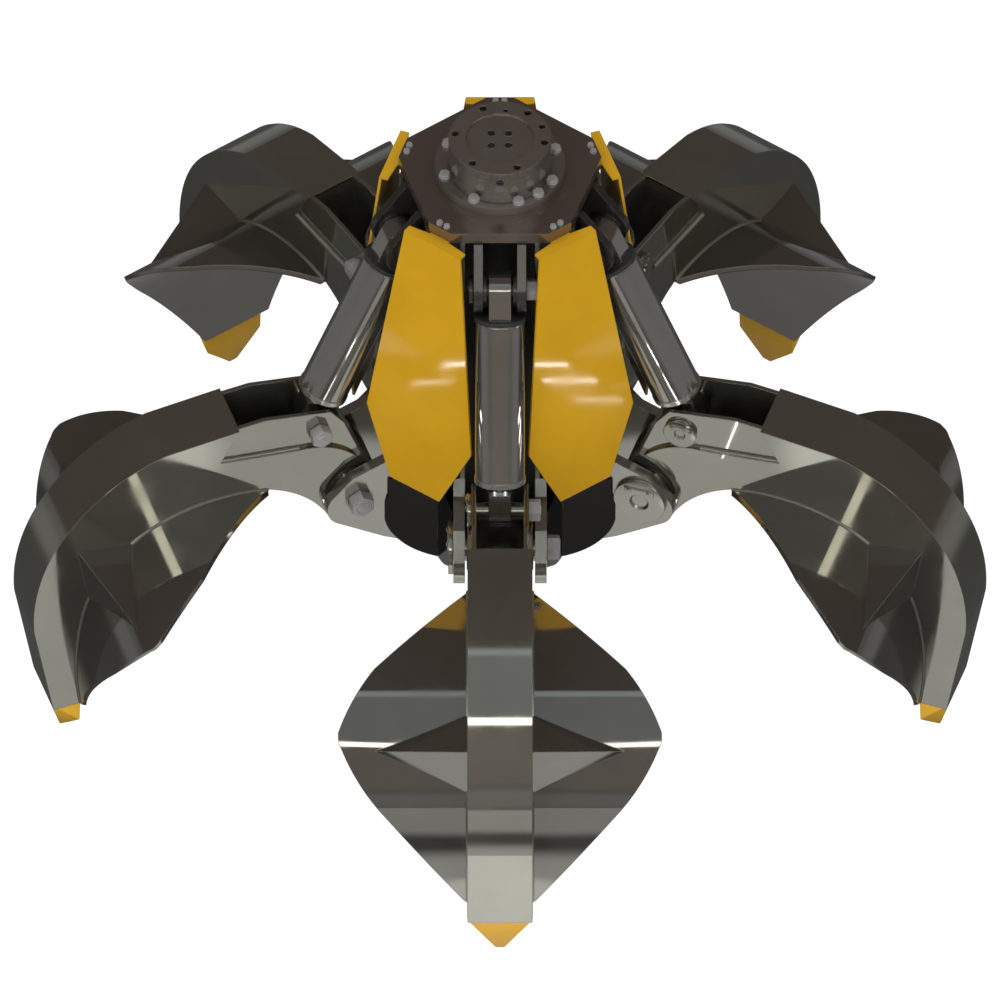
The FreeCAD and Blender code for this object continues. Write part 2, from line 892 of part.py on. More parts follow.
def blade(number):
    """The curved blade plate with its pair of ridge gussets."""
    thick = size("blade_thick")
    body = new_body("blade", azimuth(number))
    strip = (
        [BLADE_START]
        + arc_points(BLADE_ARCS, 0)
        + [arc_points(BLADE_ARCS, thick)[-1][:2]]
        + arc_points_back(BLADE_ARCS, thick)
    )
    symmetric(body, "PartDesign::Pad", path(strip), "2 * sizes.blade_half_width")
    trim_outside(body, path(both_sides(BLADE_WIDTHS)))
    flank = size("arm_half")
    gussets = []
    for side in (-1, 1):
        corners = [
            V(947, side * flank, -1006),
            V(1062, side * flank, -1168),
            V(1012 + size("gusset_height") * FRONT_SLOPE, side * flank, -1073 + size("gusset_height") * FRONT_SLOPE),
            V(1010, side * size("gusset_reach"), -1072),
        ]
        faces = []
        for a, b, c in ((0, 1, 2), (0, 1, 3), (1, 2, 3), (2, 0, 3)):
            wire = Part.makePolygon([corners[a], corners[b], corners[c], corners[a]])
            faces.append(Part.Face(wire))
        solid = Part.makeSolid(Part.makeShell(faces))
        if solid.Volume < 0:
            solid.reverse()
        item = doc.addObject("Part::Feature", "gusset")
        item.Shape = solid
        item.Placement = turned(azimuth(number))
        gussets.append(item)
    keep(fuse([body] + gussets), f"tine_blade_{number}")


def tip(number):
    """The pointed tooth on a tine's end."""
    body = new_body("tip", azimuth(number))
    profile = [(1152, -1512), (1114, -1634), (1088, -1634), BLADE_ENDS[-1]]
    symmetric(body, "PartDesign::Pad", lines(profile), "2 * sizes.tip_half_width")
    wide, point = size("tip_half_width"), size("tip_point_half")
    outline = [(seen(2500), wide), (seen(2650), wide), (seen(2749), point)]
    trim_outside(body, lines(outline + [(s, -w) for s, w in reversed(outline)]))
    keep(body, f"tine_tip_{number}")


def rod_pin(number):
    """The rod pin's outer lengths, with the head and nut, carried by the arm's cheeks."""
    axis = sideways(number)
    x, y = ROD_PIN
    face, eye, gap = size("arm_upper_half"), size("eye_half"), size("washer_gap")
    stub = face - eye
    head_base = in_tine(number, x, -face - size("rod_pin_head_thick") - gap, y)
    left = fuse(
        [
            cylinder("sizes.rod_pin_radius", stub, in_tine(number, x, -face - gap, y), axis),
            cylinder("sizes.rod_pin_head_radius", "sizes.rod_pin_head_thick", head_base, axis),
        ]
    )
    right = cylinder("sizes.rod_pin_radius", stub, in_tine(number, x, eye + gap, y), axis)
    nut = prism("sizes.rod_pin_nut_flats", "sizes.rod_pin_nut_tall", in_tine(number, x, face + gap, y), axis)
    dimple = cylinder(
        "sizes.rod_pin_radius * 0.5", 8, in_tine(number, x, face + gap + size("rod_pin_nut_tall") - 8, y), axis
    )
    keep(group([left, fuse([right, cut(nut, [dimple])])]), f"rod_pin_{number}")


def along(number, distance, aside=0.0):
    """A point on a cylinder's axis, measured from its top pin."""
    (x, y), (low_x, low_y) = TOP_PIN, ROD_PIN
    span = math.hypot(low_x - x, low_y - y)
    share = distance / span
    return in_tine(number, x + (low_x - x) * share, aside, y + (low_y - y) * share)


def cylinder_parts(number):
    """The barrel, gland, rod and piston of one hydraulic cylinder, all on one axis."""
    axis = (along(number, 1) - along(number, 0)).normalize()
    across = sideways(number)
    eye = size("eye_half")
    span = math.hypot(ROD_PIN[0] - TOP_PIN[0], ROD_PIN[1] - TOP_PIN[1])
    start, end = size("barrel_start"), span - size("rod_showing")

    def eye_block(distance, radius, towards):
        ring = cylinder(radius, "2 * sizes.eye_half", along(number, distance, -eye), across)
        block = doc.addObject("Part::Box", "neck")
        bind(block, "Length", radius + " * 2")
        bind(block, "Width", "2 * sizes.eye_half")
        block.Height = abs(towards - distance)
        x_axis = across.cross(axis)
        turn = FreeCAD.Rotation(x_axis, across, axis, "ZXY")
        low = min(distance, towards)
        corner = along(number, low, -eye) - x_axis * size(radius.split(".")[1])
        block.Placement = FreeCAD.Placement(corner, turn)
        return fuse([ring, block])

    tube = cylinder("sizes.barrel_radius", end - start, along(number, start), axis)
    band = cylinder("sizes.band_radius", "sizes.band_tall", along(number, start), axis)
    upper = eye_block(0, "sizes.barrel_eye_radius", start + 5)
    bore = cylinder("sizes.bore_radius", end, along(number, start + size("barrel_cap")), axis)
    pin_bore = cylinder(
        "sizes.top_pin_radius + sizes.pin_gap", "2 * sizes.eye_half + 2", along(number, 0, -eye - 1), across
    )
    keep(cut(fuse([tube, band, upper]), [bore, pin_bore]), f"cylinder_barrel_{number}")

    lip = cylinder("sizes.band_radius", "sizes.gland_flange", along(number, end), axis)
    plug = cylinder(
        "sizes.bore_radius - sizes.pin_gap", "sizes.gland_long", along(number, end - size("gland_long")), axis
    )
    rod_bore = cylinder(
        "sizes.rod_radius + sizes.running_gap", 200, along(number, end - size("gland_long") - 20), axis
    )
    keep(cut(fuse([lip, plug]), [rod_bore]), f"cylinder_gland_{number}")

    rod_start = size("rod_start")
    piston_end = size("piston_start") + size("piston_long")
    stem_end = span - size("rod_eye_radius") - 12
    nose = cylinder("sizes.spigot_end_radius", piston_end - rod_start + 1, along(number, rod_start), axis)
    stem = cylinder("sizes.rod_radius", stem_end - piston_end, along(number, piston_end), axis)
    lower = eye_block(span, "sizes.rod_eye_radius", stem_end)
    rod = fuse([nose, stem, lower])
    keep(rod, f"cylinder_rod_{number}")

    ring = cylinder(
        "sizes.bore_radius - sizes.running_gap", "sizes.piston_long", along(number, size("piston_start")), axis
    )
    hole = cylinder("sizes.spigot_end_radius + sizes.pin_gap", 200, along(number, rod_start - 50), axis)
    keep(cut(ring, [hole]), f"cylinder_piston_{number}")


rotator_flange()
rotator_drum()
rotator_housing()
rotator_bolts()
top_plate()
cover_bolts()
frame_plates()
core_column()
lower_housing()
headed_pins()
for tine in range(1, TINES + 1):
    cover(tine)
    arm(tine)
    blade(tine)
    tip(tine)
    rod_pin(tine)
    cylinder_parts(tine)

doc.recompute()
for item in doc.Objects:
    if {"Invalid", "Error"} & set(item.State):
        raise RuntimeError(f"{item.Label} failed: {item.State}")
os.makedirs("parts", exist_ok=True)
for part in parts:
    if part.Shape.isNull() or not part.Shape.isValid():
        raise RuntimeError(f"{part.Label} has no valid shape")
    part.Shape.exportStep(f"parts/{part.Label}.step")
print(len(parts), "nodes")
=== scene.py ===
"""Looks of the five-tine orange peel grapple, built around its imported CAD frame, in metres."""

import json
import logging
import math
from dataclasses import dataclass, field
from enum import Enum
from typing import Callable, Iterable, Sequence

import bmesh
import bpy
from mathutils import Matrix, Vector


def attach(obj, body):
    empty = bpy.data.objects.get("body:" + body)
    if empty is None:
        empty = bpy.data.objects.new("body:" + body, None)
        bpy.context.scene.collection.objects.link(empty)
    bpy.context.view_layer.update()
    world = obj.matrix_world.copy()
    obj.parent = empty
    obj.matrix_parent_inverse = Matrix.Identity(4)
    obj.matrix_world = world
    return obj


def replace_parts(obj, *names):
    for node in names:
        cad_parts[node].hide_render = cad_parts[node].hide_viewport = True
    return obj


logging.basicConfig(level=logging.INFO, format="%(name)s: %(message)s")
LOG = logging.getLogger("grapple")

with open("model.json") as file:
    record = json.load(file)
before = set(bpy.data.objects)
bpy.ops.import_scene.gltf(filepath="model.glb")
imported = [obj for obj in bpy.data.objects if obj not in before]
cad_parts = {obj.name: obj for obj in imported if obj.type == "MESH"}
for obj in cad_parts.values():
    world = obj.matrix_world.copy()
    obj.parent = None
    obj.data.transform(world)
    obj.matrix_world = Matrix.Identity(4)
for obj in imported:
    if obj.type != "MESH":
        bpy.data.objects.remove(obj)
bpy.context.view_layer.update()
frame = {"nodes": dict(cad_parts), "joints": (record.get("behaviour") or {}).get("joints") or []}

TINES = 5
PITCH = 360.0 / TINES
UP = Vector((0, 0, 1))
SAME_POINT = 1e-6
SMOOTH_LIMIT = math.radians(32)
FLOAT, RGB, VECTOR = "NodeSocketFloat", "NodeSocketColor", "NodeSocketVector"

Colour = tuple[float, float, float]
Place = tuple[float, float, float]
Spot = tuple[float, float]
Sockets = Sequence[tuple[str, str]]
Node = bpy.types.Node
Socket = bpy.types.NodeSocket
Solid = bmesh.types.BMesh


class Coat(Enum):
    """How a finish answers light."""

    PAINT = "paint"
    METAL = "metal"
    RUBBER = "rubber"


class Group(Enum):
    """The shared surface effects."""

    EDGE = "soft_edge"
    SKIN = "paint_skin"
    BRUSH = "turned_metal"


@dataclass(frozen=True)
class Ramp:
    """A smooth, clamped map from one range to another.

    Attributes:
        low: where it starts.
        high: where it ends.
        to_low: its result at the start.
        to_high: its result at the end.
    """

    low: float
    high: float
    to_low: float = 0.0
    to_high: float = 1.0


@dataclass(frozen=True)
class Band:
    """A range whose two ends fade out, each over twice the softness."""

    low: float
    high: float
    soft: float


@dataclass(frozen=True)
class Grain:
    """How fine, how detailed and how rough a noise is."""

    scale: float
    detail: float = 2.0
    rough: float = 0.5


@dataclass
class Bench:
    """A node tree being wired up."""

    tree: bpy.types.NodeTree

    def add(self, kind: str, **values: object) -> Node:
        """Add a node.

        Args:
            kind: Blender's node type.
            values: properties of the node, or inputs by name with spaces as underscores.

        Returns:
            The new node.
        """
        node = self.tree.nodes.new(kind)
        for name, value in values.items():
            if hasattr(node, name) and name not in node.inputs:
                setattr(node, name, value)
            else:
                self.feed(node, name.replace("_", " "), value)
        return node

    def effect(self, which: Group) -> Node:
        """Add one of the shared effects.

        Args:
            which: the effect.

        Returns:
            The new group node.
        """
        node = self.add("ShaderNodeGroup")
        node.node_tree = bpy.data.node_groups[which.value]
        return node

    def feed(self, node: Node, name: str | int, value: object) -> None:
        """Set or link one input.

        Args:
            node: the node.
            name: the input's name or number.
            value: a plain value, or the socket to link.
        """
        socket = node.inputs[name]
        if isinstance(value, Socket):
            self.tree.links.new(value, socket)
        else:
            socket.default_value = value

    def math(self, kind: str, a: object, b: object = 0.0, clamp: bool = False) -> Socket:
        """A Math node's result.

        Args:
            kind: the operation.
            a: first value or socket.
            b: second value or socket.
            clamp: keep the result between 0 and 1.

        Returns:
            The output socket.
        """
        node = self.add("ShaderNodeMath", operation=kind, use_clamp=clamp)
        self.feed(node, 0, a)
        self.feed(node, 1, b)
        return node.outputs[0]

    def mix(self, share: object, a: object, b: object, blend: str = "MIX") -> Socket:
        """A colour mix's result.

        Args:
            share: how much of the second colour comes in.
            a: first colour or socket.
            b: second colour or socket.
            blend: the way of mixing.

        Returns:
            The output socket.
        """
        node = self.add("ShaderNodeMix", data_type="RGBA", blend_type=blend)
        self.feed(node, 0, share)
        self.feed(node, 6, a)
        self.feed(node, 7, b)
        return node.outputs[2]

    def spread(self, value: object, ramp: Ramp) -> Socket:
        """A value sent through a ramp.

        Args:
            value: the value or socket.
            ramp: the ramp.

        Returns:
            The output socket.
        """
        node = self.add("ShaderNodeMapRange", interpolation_type="SMOOTHSTEP")
        for index, item in enumerate((value, ramp.low, ramp.high, ramp.to_low, ramp.to_high)):
            self.feed(node, index, item)
        return node.outputs[0]

    def inside(self, value: object, band: Band) -> Socket:
        """Where a value lies inside a band.

        Args:
            value: the value or socket.
            band: the band.

        Returns:
            A socket with 1 inside and 0 outside.
        """
        rise = self.spread(value, Ramp(band.low - band.soft, band.low + band.soft))
        fall = self.spread(value, Ramp(band.high - band.soft, band.high + band.soft, 1.0, 0.0))
        return self.math("MULTIPLY", rise, fall)

    def noise(self, where: object, grain: Grain) -> Socket:
        """A noise texture's value.

        Args:
            where: the point.
            grain: the noise's character.

        Returns:
            The output socket.
        """
        node = self.add("ShaderNodeTexNoise")
        self.feed(node, "Vector", where)
        self.feed(node, "Scale", grain.scale)
        self.feed(node, "Detail", grain.detail)
        self.feed(node, "Roughness", grain.rough)
        return node.outputs[0]

    def grey(self, level: object) -> Socket:
        """A grey of a given level.

        Args:
            level: the level or its socket.

        Returns:
            The colour's socket.
        """
        node = self.add("ShaderNodeCombineColor")
        for channel in range(3):
            self.feed(node, channel, level)
        return node.outputs[0]


def rgba(colour: Colour) -> tuple[float, float, float, float]:
    """A colour with full alpha."""
    return (*colour, 1.0)


def new_group(which: Group, inputs: Sockets, outputs: Sockets) -> tuple[Bench, Node, Node]:
    """Start a shared shader group.

    Args:
        which: the group's name.
        inputs: socket names with their kinds.
        outputs: socket names with their kinds.

    Returns:
        A bench on the group's tree, the group's input node and its output node.
    """
    tree = bpy.data.node_groups.new(which.value, "ShaderNodeTree")
    for name, kind in inputs:
        tree.interface.new_socket(name, in_out="INPUT", socket_type=kind)
    for name, kind in outputs:
        tree.interface.new_socket(name, in_out="OUTPUT", socket_type=kind)
    bench = Bench(tree)
    return bench, bench.add("NodeGroupInput"), bench.add("NodeGroupOutput")


@dataclass(frozen=True)
class SoftEdge:
    """Corners that catch the light as if rounded, and a mask of where they are."""

    samples: int = 4
    turned: Ramp = Ramp(1.0, 0.9)

    def build(self) -> None:
        """Make the group."""
        outputs = [("Normal", VECTOR), ("Edge", FLOAT)]
        bench, start, end = new_group(Group.EDGE, [("Radius", FLOAT)], outputs)
        bevel = bench.add("ShaderNodeBevel", samples=self.samples)
        bench.feed(bevel, "Radius", start.outputs["Radius"])
        dot = bench.add("ShaderNodeVectorMath", operation="DOT_PRODUCT")
        bench.feed(dot, 0, bevel.outputs[0])
        bench.feed(dot, 1, bench.add("ShaderNodeNewGeometry").outputs["Normal"])
        bench.feed(end, "Normal", bevel.outputs[0])
        bench.feed(end, "Edge", bench.spread(dot.outputs["Value"], self.turned))


@dataclass(frozen=True)
class PaintSkin:
    """Sprayed paint with faint patches, chipped edges and dust that has settled on top."""

    patches: Grain = Grain(5.0, 4.0, 0.6)
    chips: Grain = Grain(60.0, 8.0, 0.7)
    spray: Grain = Grain(420.0)
    specks: Grain = Grain(900.0, 3.0, 0.6)
    patch_tone: Ramp = Ramp(0.3, 0.7, 0.95, 1.04)
    patch_rough: Ramp = Ramp(0.3, 0.7, -0.05, 0.06)
    chipped: Ramp = Ramp(0.42, 0.6)
    lying: Ramp = Ramp(0.2, 0.95)
    dust_clouds: Ramp = Ramp(0.35, 0.75, 0.2, 1.0)
    dust_specks: Ramp = Ramp(0.35, 0.65, 0.3, 1.0)
    dust_rough: float = 0.5
    bare_rough: float = 0.1
    bare_height: float = -0.6
    spray_height: float = 0.35

    def build(self) -> None:
        """Make the group."""
        inputs = [("Color", RGB), ("Worn", RGB), ("Dust", RGB)]
        inputs += [(name, FLOAT) for name in ("Edge", "Wear", "Dirt", "Rough")]
        outputs = [("Color", RGB), ("Roughness", FLOAT), ("Bare", FLOAT), ("Height", FLOAT)]
        bench, start, end = new_group(Group.SKIN, inputs, outputs)
        where = bench.add("ShaderNodeTexCoord").outputs["Object"]
        patches = bench.noise(where, self.patches)
        chips = bench.noise(where, self.chips)
        bare = self.bare(bench, start, chips)
        dusty = self.dusty(bench, start, where, chips)
        tone = bench.grey(bench.spread(patches, self.patch_tone))
        painted = bench.mix(1.0, start.outputs["Color"], tone, "MULTIPLY")
        coloured = bench.mix(dusty, painted, start.outputs["Dust"])
        bench.feed(end, "Color", bench.mix(bare, coloured, start.outputs["Worn"]))
        matte = bench.math("ADD", start.outputs["Rough"], bench.spread(patches, self.patch_rough))
        matte = bench.math("ADD", matte, bench.math("MULTIPLY", dusty, self.dust_rough))
        rubbed = bench.math("MULTIPLY", bare, self.bare_rough)
        bench.feed(end, "Roughness", bench.math("ADD", matte, rubbed, clamp=True))
        bench.feed(end, "Bare", bare)
        lowered = bench.math("MULTIPLY", bare, self.bare_height)
        raised = bench.math("MULTIPLY", bench.noise(where, self.spray), self.spray_height)
        bench.feed(end, "Height", bench.math("ADD", raised, lowered))

    def bare(self, bench: Bench, start: Node, chips: Socket) -> Socket:
        """Where the paint is gone: in chips along the edges.

        Args:
            bench: the group's bench.
            start: the group's input node.
            chips: the noise that breaks the edges up.

        Returns:
            The mask's socket.
        """
        worn = bench.math("MULTIPLY", start.outputs["Edge"], bench.spread(chips, self.chipped))
        return bench.math("MULTIPLY", worn, start.outputs["Wear"], clamp=True)

    def dusty(self, bench: Bench, start: Node, where: Socket, chips: Socket) -> Socket:
        """Where dust lies: on faces that look up, in clouds and specks.

        Args:
            bench: the group's bench.
            start: the group's input node.
            where: the point on the surface.
            chips: the noise that makes the clouds.

        Returns:
            The mask's socket.
        """
        facing = bench.add("ShaderNodeSeparateXYZ")
        bench.feed(facing, 0, bench.add("ShaderNodeNewGeometry").outputs["Normal"])
        lying = bench.spread(facing.outputs["Z"], self.lying)
        clouds = bench.math("MULTIPLY", lying, bench.spread(chips, self.dust_clouds))
        specks = bench.spread(bench.noise(where, self.specks), self.dust_specks)
        speckled = bench.math("MULTIPLY", clouds, specks)
        return bench.math("MULTIPLY", speckled, start.outputs["Dirt"], clamp=True)


@dataclass(frozen=True)
class TurnedMetal:
    """Bare metal with a fine grain, a painted highlight along its edges, and stains."""

    fine: Grain = Grain(700.0, 3.0, 0.7)
    clouds: Grain = Grain(28.0, 5.0, 0.6)
    stained: Ramp = Ramp(0.45, 0.7)
    grain_rough: Ramp = Ramp(0.35, 0.65, -0.06, 0.08)
    stain_rough: float = 0.25
    edge_highlight_share: float = 0.35
    edge_highlight_colour: Colour = (0.9, 0.9, 0.9)

    def build(self) -> None:
        """Make the group."""
        inputs = [("Color", RGB), ("Grime", RGB), ("Rough", FLOAT), ("Dirt", FLOAT), ("Edge", FLOAT)]
        outputs = [("Color", RGB), ("Roughness", FLOAT), ("Height", FLOAT)]
        bench, start, end = new_group(Group.BRUSH, inputs, outputs)
        where = bench.add("ShaderNodeTexCoord").outputs["Object"]
        fine = bench.noise(where, self.fine)
        clouds = bench.spread(bench.noise(where, self.clouds), self.stained)
        stain = bench.math("MULTIPLY", clouds, start.outputs["Dirt"], clamp=True)
        # Edges mixed towards white: a painted highlight on the metal's edges.
        edge = bench.math("MULTIPLY", start.outputs["Edge"], self.edge_highlight_share)
        lit = bench.mix(edge, start.outputs["Color"], rgba(self.edge_highlight_colour))
        bench.feed(end, "Color", bench.mix(stain, lit, start.outputs["Grime"]))
        rough = bench.math("ADD", start.outputs["Rough"], bench.spread(fine, self.grain_rough))
        stained = bench.math("MULTIPLY", stain, self.stain_rough)
        bench.feed(end, "Roughness", bench.math("ADD", rough, stained, clamp=True))
        bench.feed(end, "Height", fine)


@dataclass(frozen=True)
class Finish:
    """One finish: its colours, its gloss and how much it is worn and dusty."""

    name: str
    coat: Coat
    colour: Colour
    metallic: float = 0.0
    rough: float = 0.35
    worn: Colour = (0.42, 0.41, 0.4)
    dust: Colour = (0.22, 0.2, 0.17)
    wear: float = 0.5
    dirt: float = 0.1
    edge_radius: float = 0.003
    gloss_coat: float = 0.0
    coat_rough: float = 0.12
    bump: float = 0.06
    bump_height: float = 0.0006
    bare_metallic: float = 0.95

    def build(self) -> bpy.types.Material:
        """Make the material.

        Returns:
            The material, new or already made.
        """
        if self.name in bpy.data.materials:
            return bpy.data.materials[self.name]
        material = bpy.data.materials.new(self.name)
        material.use_nodes = True
        bench = Bench(material.node_tree)
        shader = material.node_tree.nodes["Principled BSDF"]
        edge = bench.effect(Group.EDGE)
        edge.inputs["Radius"].default_value = self.edge_radius
        shader.inputs["Coat Weight"].default_value = self.gloss_coat
        shader.inputs["Coat Roughness"].default_value = self.coat_rough
        skin = self.surface(bench, shader)
        bench.feed(skin, "Edge", edge.outputs["Edge"])
        bench.feed(shader, "Base Color", skin.outputs["Color"])
        bench.feed(shader, "Roughness", skin.outputs["Roughness"])
        bump = bench.add("ShaderNodeBump")
        bump.inputs["Strength"].default_value = self.bump
        bump.inputs["Distance"].default_value = self.bump_height
        bench.feed(bump, "Height", skin.outputs["Height"])
        bench.feed(bump, "Normal", edge.outputs["Normal"])
        bench.feed(shader, "Normal", bump.outputs[0])
        return material

    def surface(self, bench: Bench, shader: Node) -> Node:
        """Add the effect that this coat is made of.

        Args:
            bench: the material's bench.
            shader: its shader, which gets the metallic part.

        Returns:
            The effect's node, with the finish's values set.
        """
        if self.coat is Coat.METAL:
            skin = bench.effect(Group.BRUSH)
            skin.inputs["Grime"].default_value = rgba(self.dust)
            shader.inputs["Metallic"].default_value = self.metallic
        else:
            skin = bench.effect(Group.SKIN)
            skin.inputs["Worn"].default_value = rgba(self.worn)
            skin.inputs["Dust"].default_value = rgba(self.dust)
            skin.inputs["Wear"].default_value = self.wear
        if self.coat is Coat.PAINT:
            metal = bench.spread(skin.outputs["Bare"], Ramp(0.0, 1.0, self.metallic, self.bare_metallic))
            bench.feed(shader, "Metallic", metal)
        skin.inputs["Color"].default_value = rgba(self.colour)
        skin.inputs["Dirt"].default_value = self.dirt
        skin.inputs["Rough"].default_value = self.rough
        return skin


ARM_PAINT = Finish(
    "anthracite_arm", Coat.PAINT, (0.4, 0.395, 0.34), metallic=0.95, rough=0.07, dirt=0.03, bump=0.006
)
BLADE_PAINT = Finish(
    "anthracite_blade", Coat.PAINT, (0.32, 0.31, 0.28), metallic=0.95, rough=0.06,
    wear=0.6, dirt=0.03, bump=0.006,
)
FRAME_PAINT = Finish(
    "anthracite_frame", Coat.PAINT, (0.45, 0.445, 0.39), metallic=0.92, rough=0.16,
    wear=0.4, dirt=0.05, bump=0.03,
)
CLEVIS_PAINT = Finish(
    "anthracite_clevis", Coat.PAINT, (0.1, 0.096, 0.086), metallic=0.85, rough=0.22,
    wear=0.4, dirt=0.05, bump=0.03,
)
BOWL_PAINT = Finish(
    "anthracite_bowl", Coat.PAINT, (0.015, 0.0138, 0.013), metallic=0.85, rough=0.12,
    wear=0.4, dirt=0.05, bump=0.03,
)
CORE_PAINT = Finish(
    "black_core", Coat.PAINT, (0.02, 0.02, 0.02), metallic=0.1, rough=0.45, wear=0.2, dirt=0.05
)
PLATE_PAINT = Finish(
    "head_plate_brown", Coat.PAINT, (0.3, 0.25, 0.22), metallic=0.9, rough=0.17,
    wear=0.35, dirt=0.02, bump=0.012,
)
ROTATOR_PAINT = Finish(
    "rotator_enamel", Coat.PAINT, (0.38, 0.345, 0.315), metallic=0.9, rough=0.17,
    wear=0.35, dirt=0.04, bump=0.012,
)
GUARD_PAINT = Finish(
    "guard_yellow", Coat.PAINT, (0.55, 0.297, 0.009), rough=0.13, worn=(0.3, 0.22, 0.1),
    wear=0.15, dirt=0.005, gloss_coat=0.05, bump=0.01,
)
TOOTH_PAINT = Finish(
    "tooth_yellow", Coat.PAINT, (0.66, 0.36, 0.018), rough=0.36, worn=(0.4, 0.3, 0.12), wear=0.35, dirt=0.01
)
BARREL_PAINT = Finish(
    "barrel_enamel", Coat.PAINT, (0.42, 0.4, 0.365), metallic=0.95, rough=0.09,
    wear=0.3, dirt=0.02, bump=0.006,
)
WELD = Finish(
    "weld_bead", Coat.PAINT, (0.4, 0.39, 0.34), metallic=0.9, rough=0.32,
    wear=0.4, edge_radius=0.001, bump=0.4,
)
CHROME = Finish(
    "rod_plating", Coat.METAL, (0.75, 0.76, 0.78), metallic=1.0, rough=0.1,
    dust=(0.3, 0.28, 0.25), edge_radius=0.002, bump=0.01,
)
# Near-black steel of the port plugs: painted shade that stands in for the dark open ports.
PORT_SHADE_STEEL = Finish(
    "port_shade_steel", Coat.METAL, (0.05, 0.045, 0.042), metallic=0.7, rough=0.4,
    dust=(0.05, 0.045, 0.04), dirt=0.3, bump=0.05,
)
BRIGHT_STEEL = Finish(
    "bright_steel", Coat.METAL, (0.7, 0.69, 0.67), metallic=1.0, rough=0.24,
    dust=(0.25, 0.22, 0.2), dirt=0.15, edge_radius=0.0015, bump=0.03,
)
ZINC = Finish(
    "zinc_steel", Coat.METAL, (0.34, 0.33, 0.335), metallic=0.4, rough=0.4,
    dust=(0.2, 0.17, 0.15), dirt=0.3, edge_radius=0.001,
)
SEAL = Finish("wiper_rubber", Coat.RUBBER, (0.02, 0.02, 0.021), rough=0.62, worn=(0.05, 0.05, 0.05), wear=0.2)

NODE_FINISHES: tuple[tuple[str, Finish], ...] = (
    ("tine_arm", ARM_PAINT),
    ("tine_blade", BLADE_PAINT),
    ("tine_tip", TOOTH_PAINT),
    ("cover_bolts", ZINC),
    ("cover", GUARD_PAINT),
    ("cylinder_barrel", BARREL_PAINT),
    ("cylinder_gland", BRIGHT_STEEL),
    ("cylinder_piston", BRIGHT_STEEL),
    ("cylinder_rod", CHROME),
    ("clevis_plates", CLEVIS_PAINT),
    ("core_column", CORE_PAINT),
    ("lower_housing", BOWL_PAINT),
    ("head_plate", PLATE_PAINT),
    ("rotator_bolts", ZINC),
    ("rotator", ROTATOR_PAINT),
    ("rod_pin", BRIGHT_STEEL),
    ("pivot_nuts", ZINC),
    ("top_nuts", ZINC),
    ("", FRAME_PAINT),
)


def finish_of(node: str) -> Finish:
    """The finish of a CAD node, by how its name begins."""
    return next(finish for start, finish in NODE_FINISHES if node.startswith(start))


def dress_nodes() -> None:
    """Give every CAD node its own procedural finish."""
    for name, item in frame["nodes"].items():
        material = finish_of(name).build()
        if not item.material_slots:
            item.data.materials.append(material)
        for place in item.material_slots:
            place.material = material


def linked(name: str, data: bpy.types.ID) -> bpy.types.Object:
    """Put an object into the scene.

    Args:
        name: its name.
        data: its mesh, camera or light.

    Returns:
        The object.
    """
    item = bpy.data.objects.new(name, data)
    bpy.context.scene.collection.objects.link(item)
    return item


def placed(name: str, mesh: Solid, finish: Finish, body: str) -> bpy.types.Object:
    """Turn a finished bmesh into an object that rides on a body.

    Args:
        name: the piece's name.
        mesh: its shape, already in place; it is freed here.
        finish: its finish.
        body: the CAD body that carries it.

    Returns:
        The object.
    """
    bmesh.ops.remove_doubles(mesh, verts=mesh.verts, dist=SAME_POINT)
    bmesh.ops.recalc_face_normals(mesh, faces=mesh.faces)
    shade_by_angle(mesh)
    data = bpy.data.meshes.new(name)
    mesh.to_mesh(data)
    mesh.free()
    data.materials.append(finish.build())
    item = linked(name, data)
    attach(item, body)
    LOG.info("%s: %d faces on %s", name, len(data.polygons), body)
    return item


def shade_by_angle(mesh: Solid) -> None:
    """Shade a mesh smooth, with its sharp edges marked."""
    for face in mesh.faces:
        face.smooth = True
    for edge in mesh.edges:
        edge.smooth = len(edge.link_faces) == 2 and edge.calc_face_angle(0.0) < SMOOTH_LIMIT


def towards(point: Vector, axis: Vector) -> Matrix:
    """A placement that puts the origin on a point and +Z along an axis."""
    return Matrix.Translation(point) @ axis.to_track_quat("Z", "Y").to_matrix().to_4x4()


def lifted(place: Matrix, height: float) -> Matrix:
    """A placement moved along its own axis."""
    return place @ Matrix.Translation((0, 0, height))


def join_into(mesh: Solid, extra: Solid) -> None:
    """Move one bmesh into another and free it."""
    data = bpy.data.meshes.new("joined")
    extra.to_mesh(data)
    extra.free()
    mesh.from_mesh(data)
    bpy.data.meshes.remove(data)


def soften(mesh: Solid, edges: Iterable[bmesh.types.BMEdge], round_by: float, segments: int = 3) -> None:
    """Round some edges.

    Args:
        mesh: their mesh.
        edges: the edges.
        round_by: how far the round reaches.
        segments: how many faces make it up.
    """
    bmesh.ops.bevel(
        mesh, geom=list(edges), offset=round_by, segments=segments, profile=0.5, affect="EDGES", material=-1
    )


def bar(mesh: Solid, radius: float, long: float, sides: int, place: Matrix) -> list[bmesh.types.BMVert]:
    """Add a plain round or many-sided bar.

    Args:
        mesh: where it is added.
        radius: out to its corners.
        long: its length along the placement's axis.
        sides: how many sides it has.
        place: the placement of its middle.

    Returns:
        The new vertices.
    """
    made = bmesh.ops.create_cone(
        mesh, cap_ends=True, segments=sides, radius1=radius, radius2=radius, depth=long, matrix=place
    )
    return made["verts"]


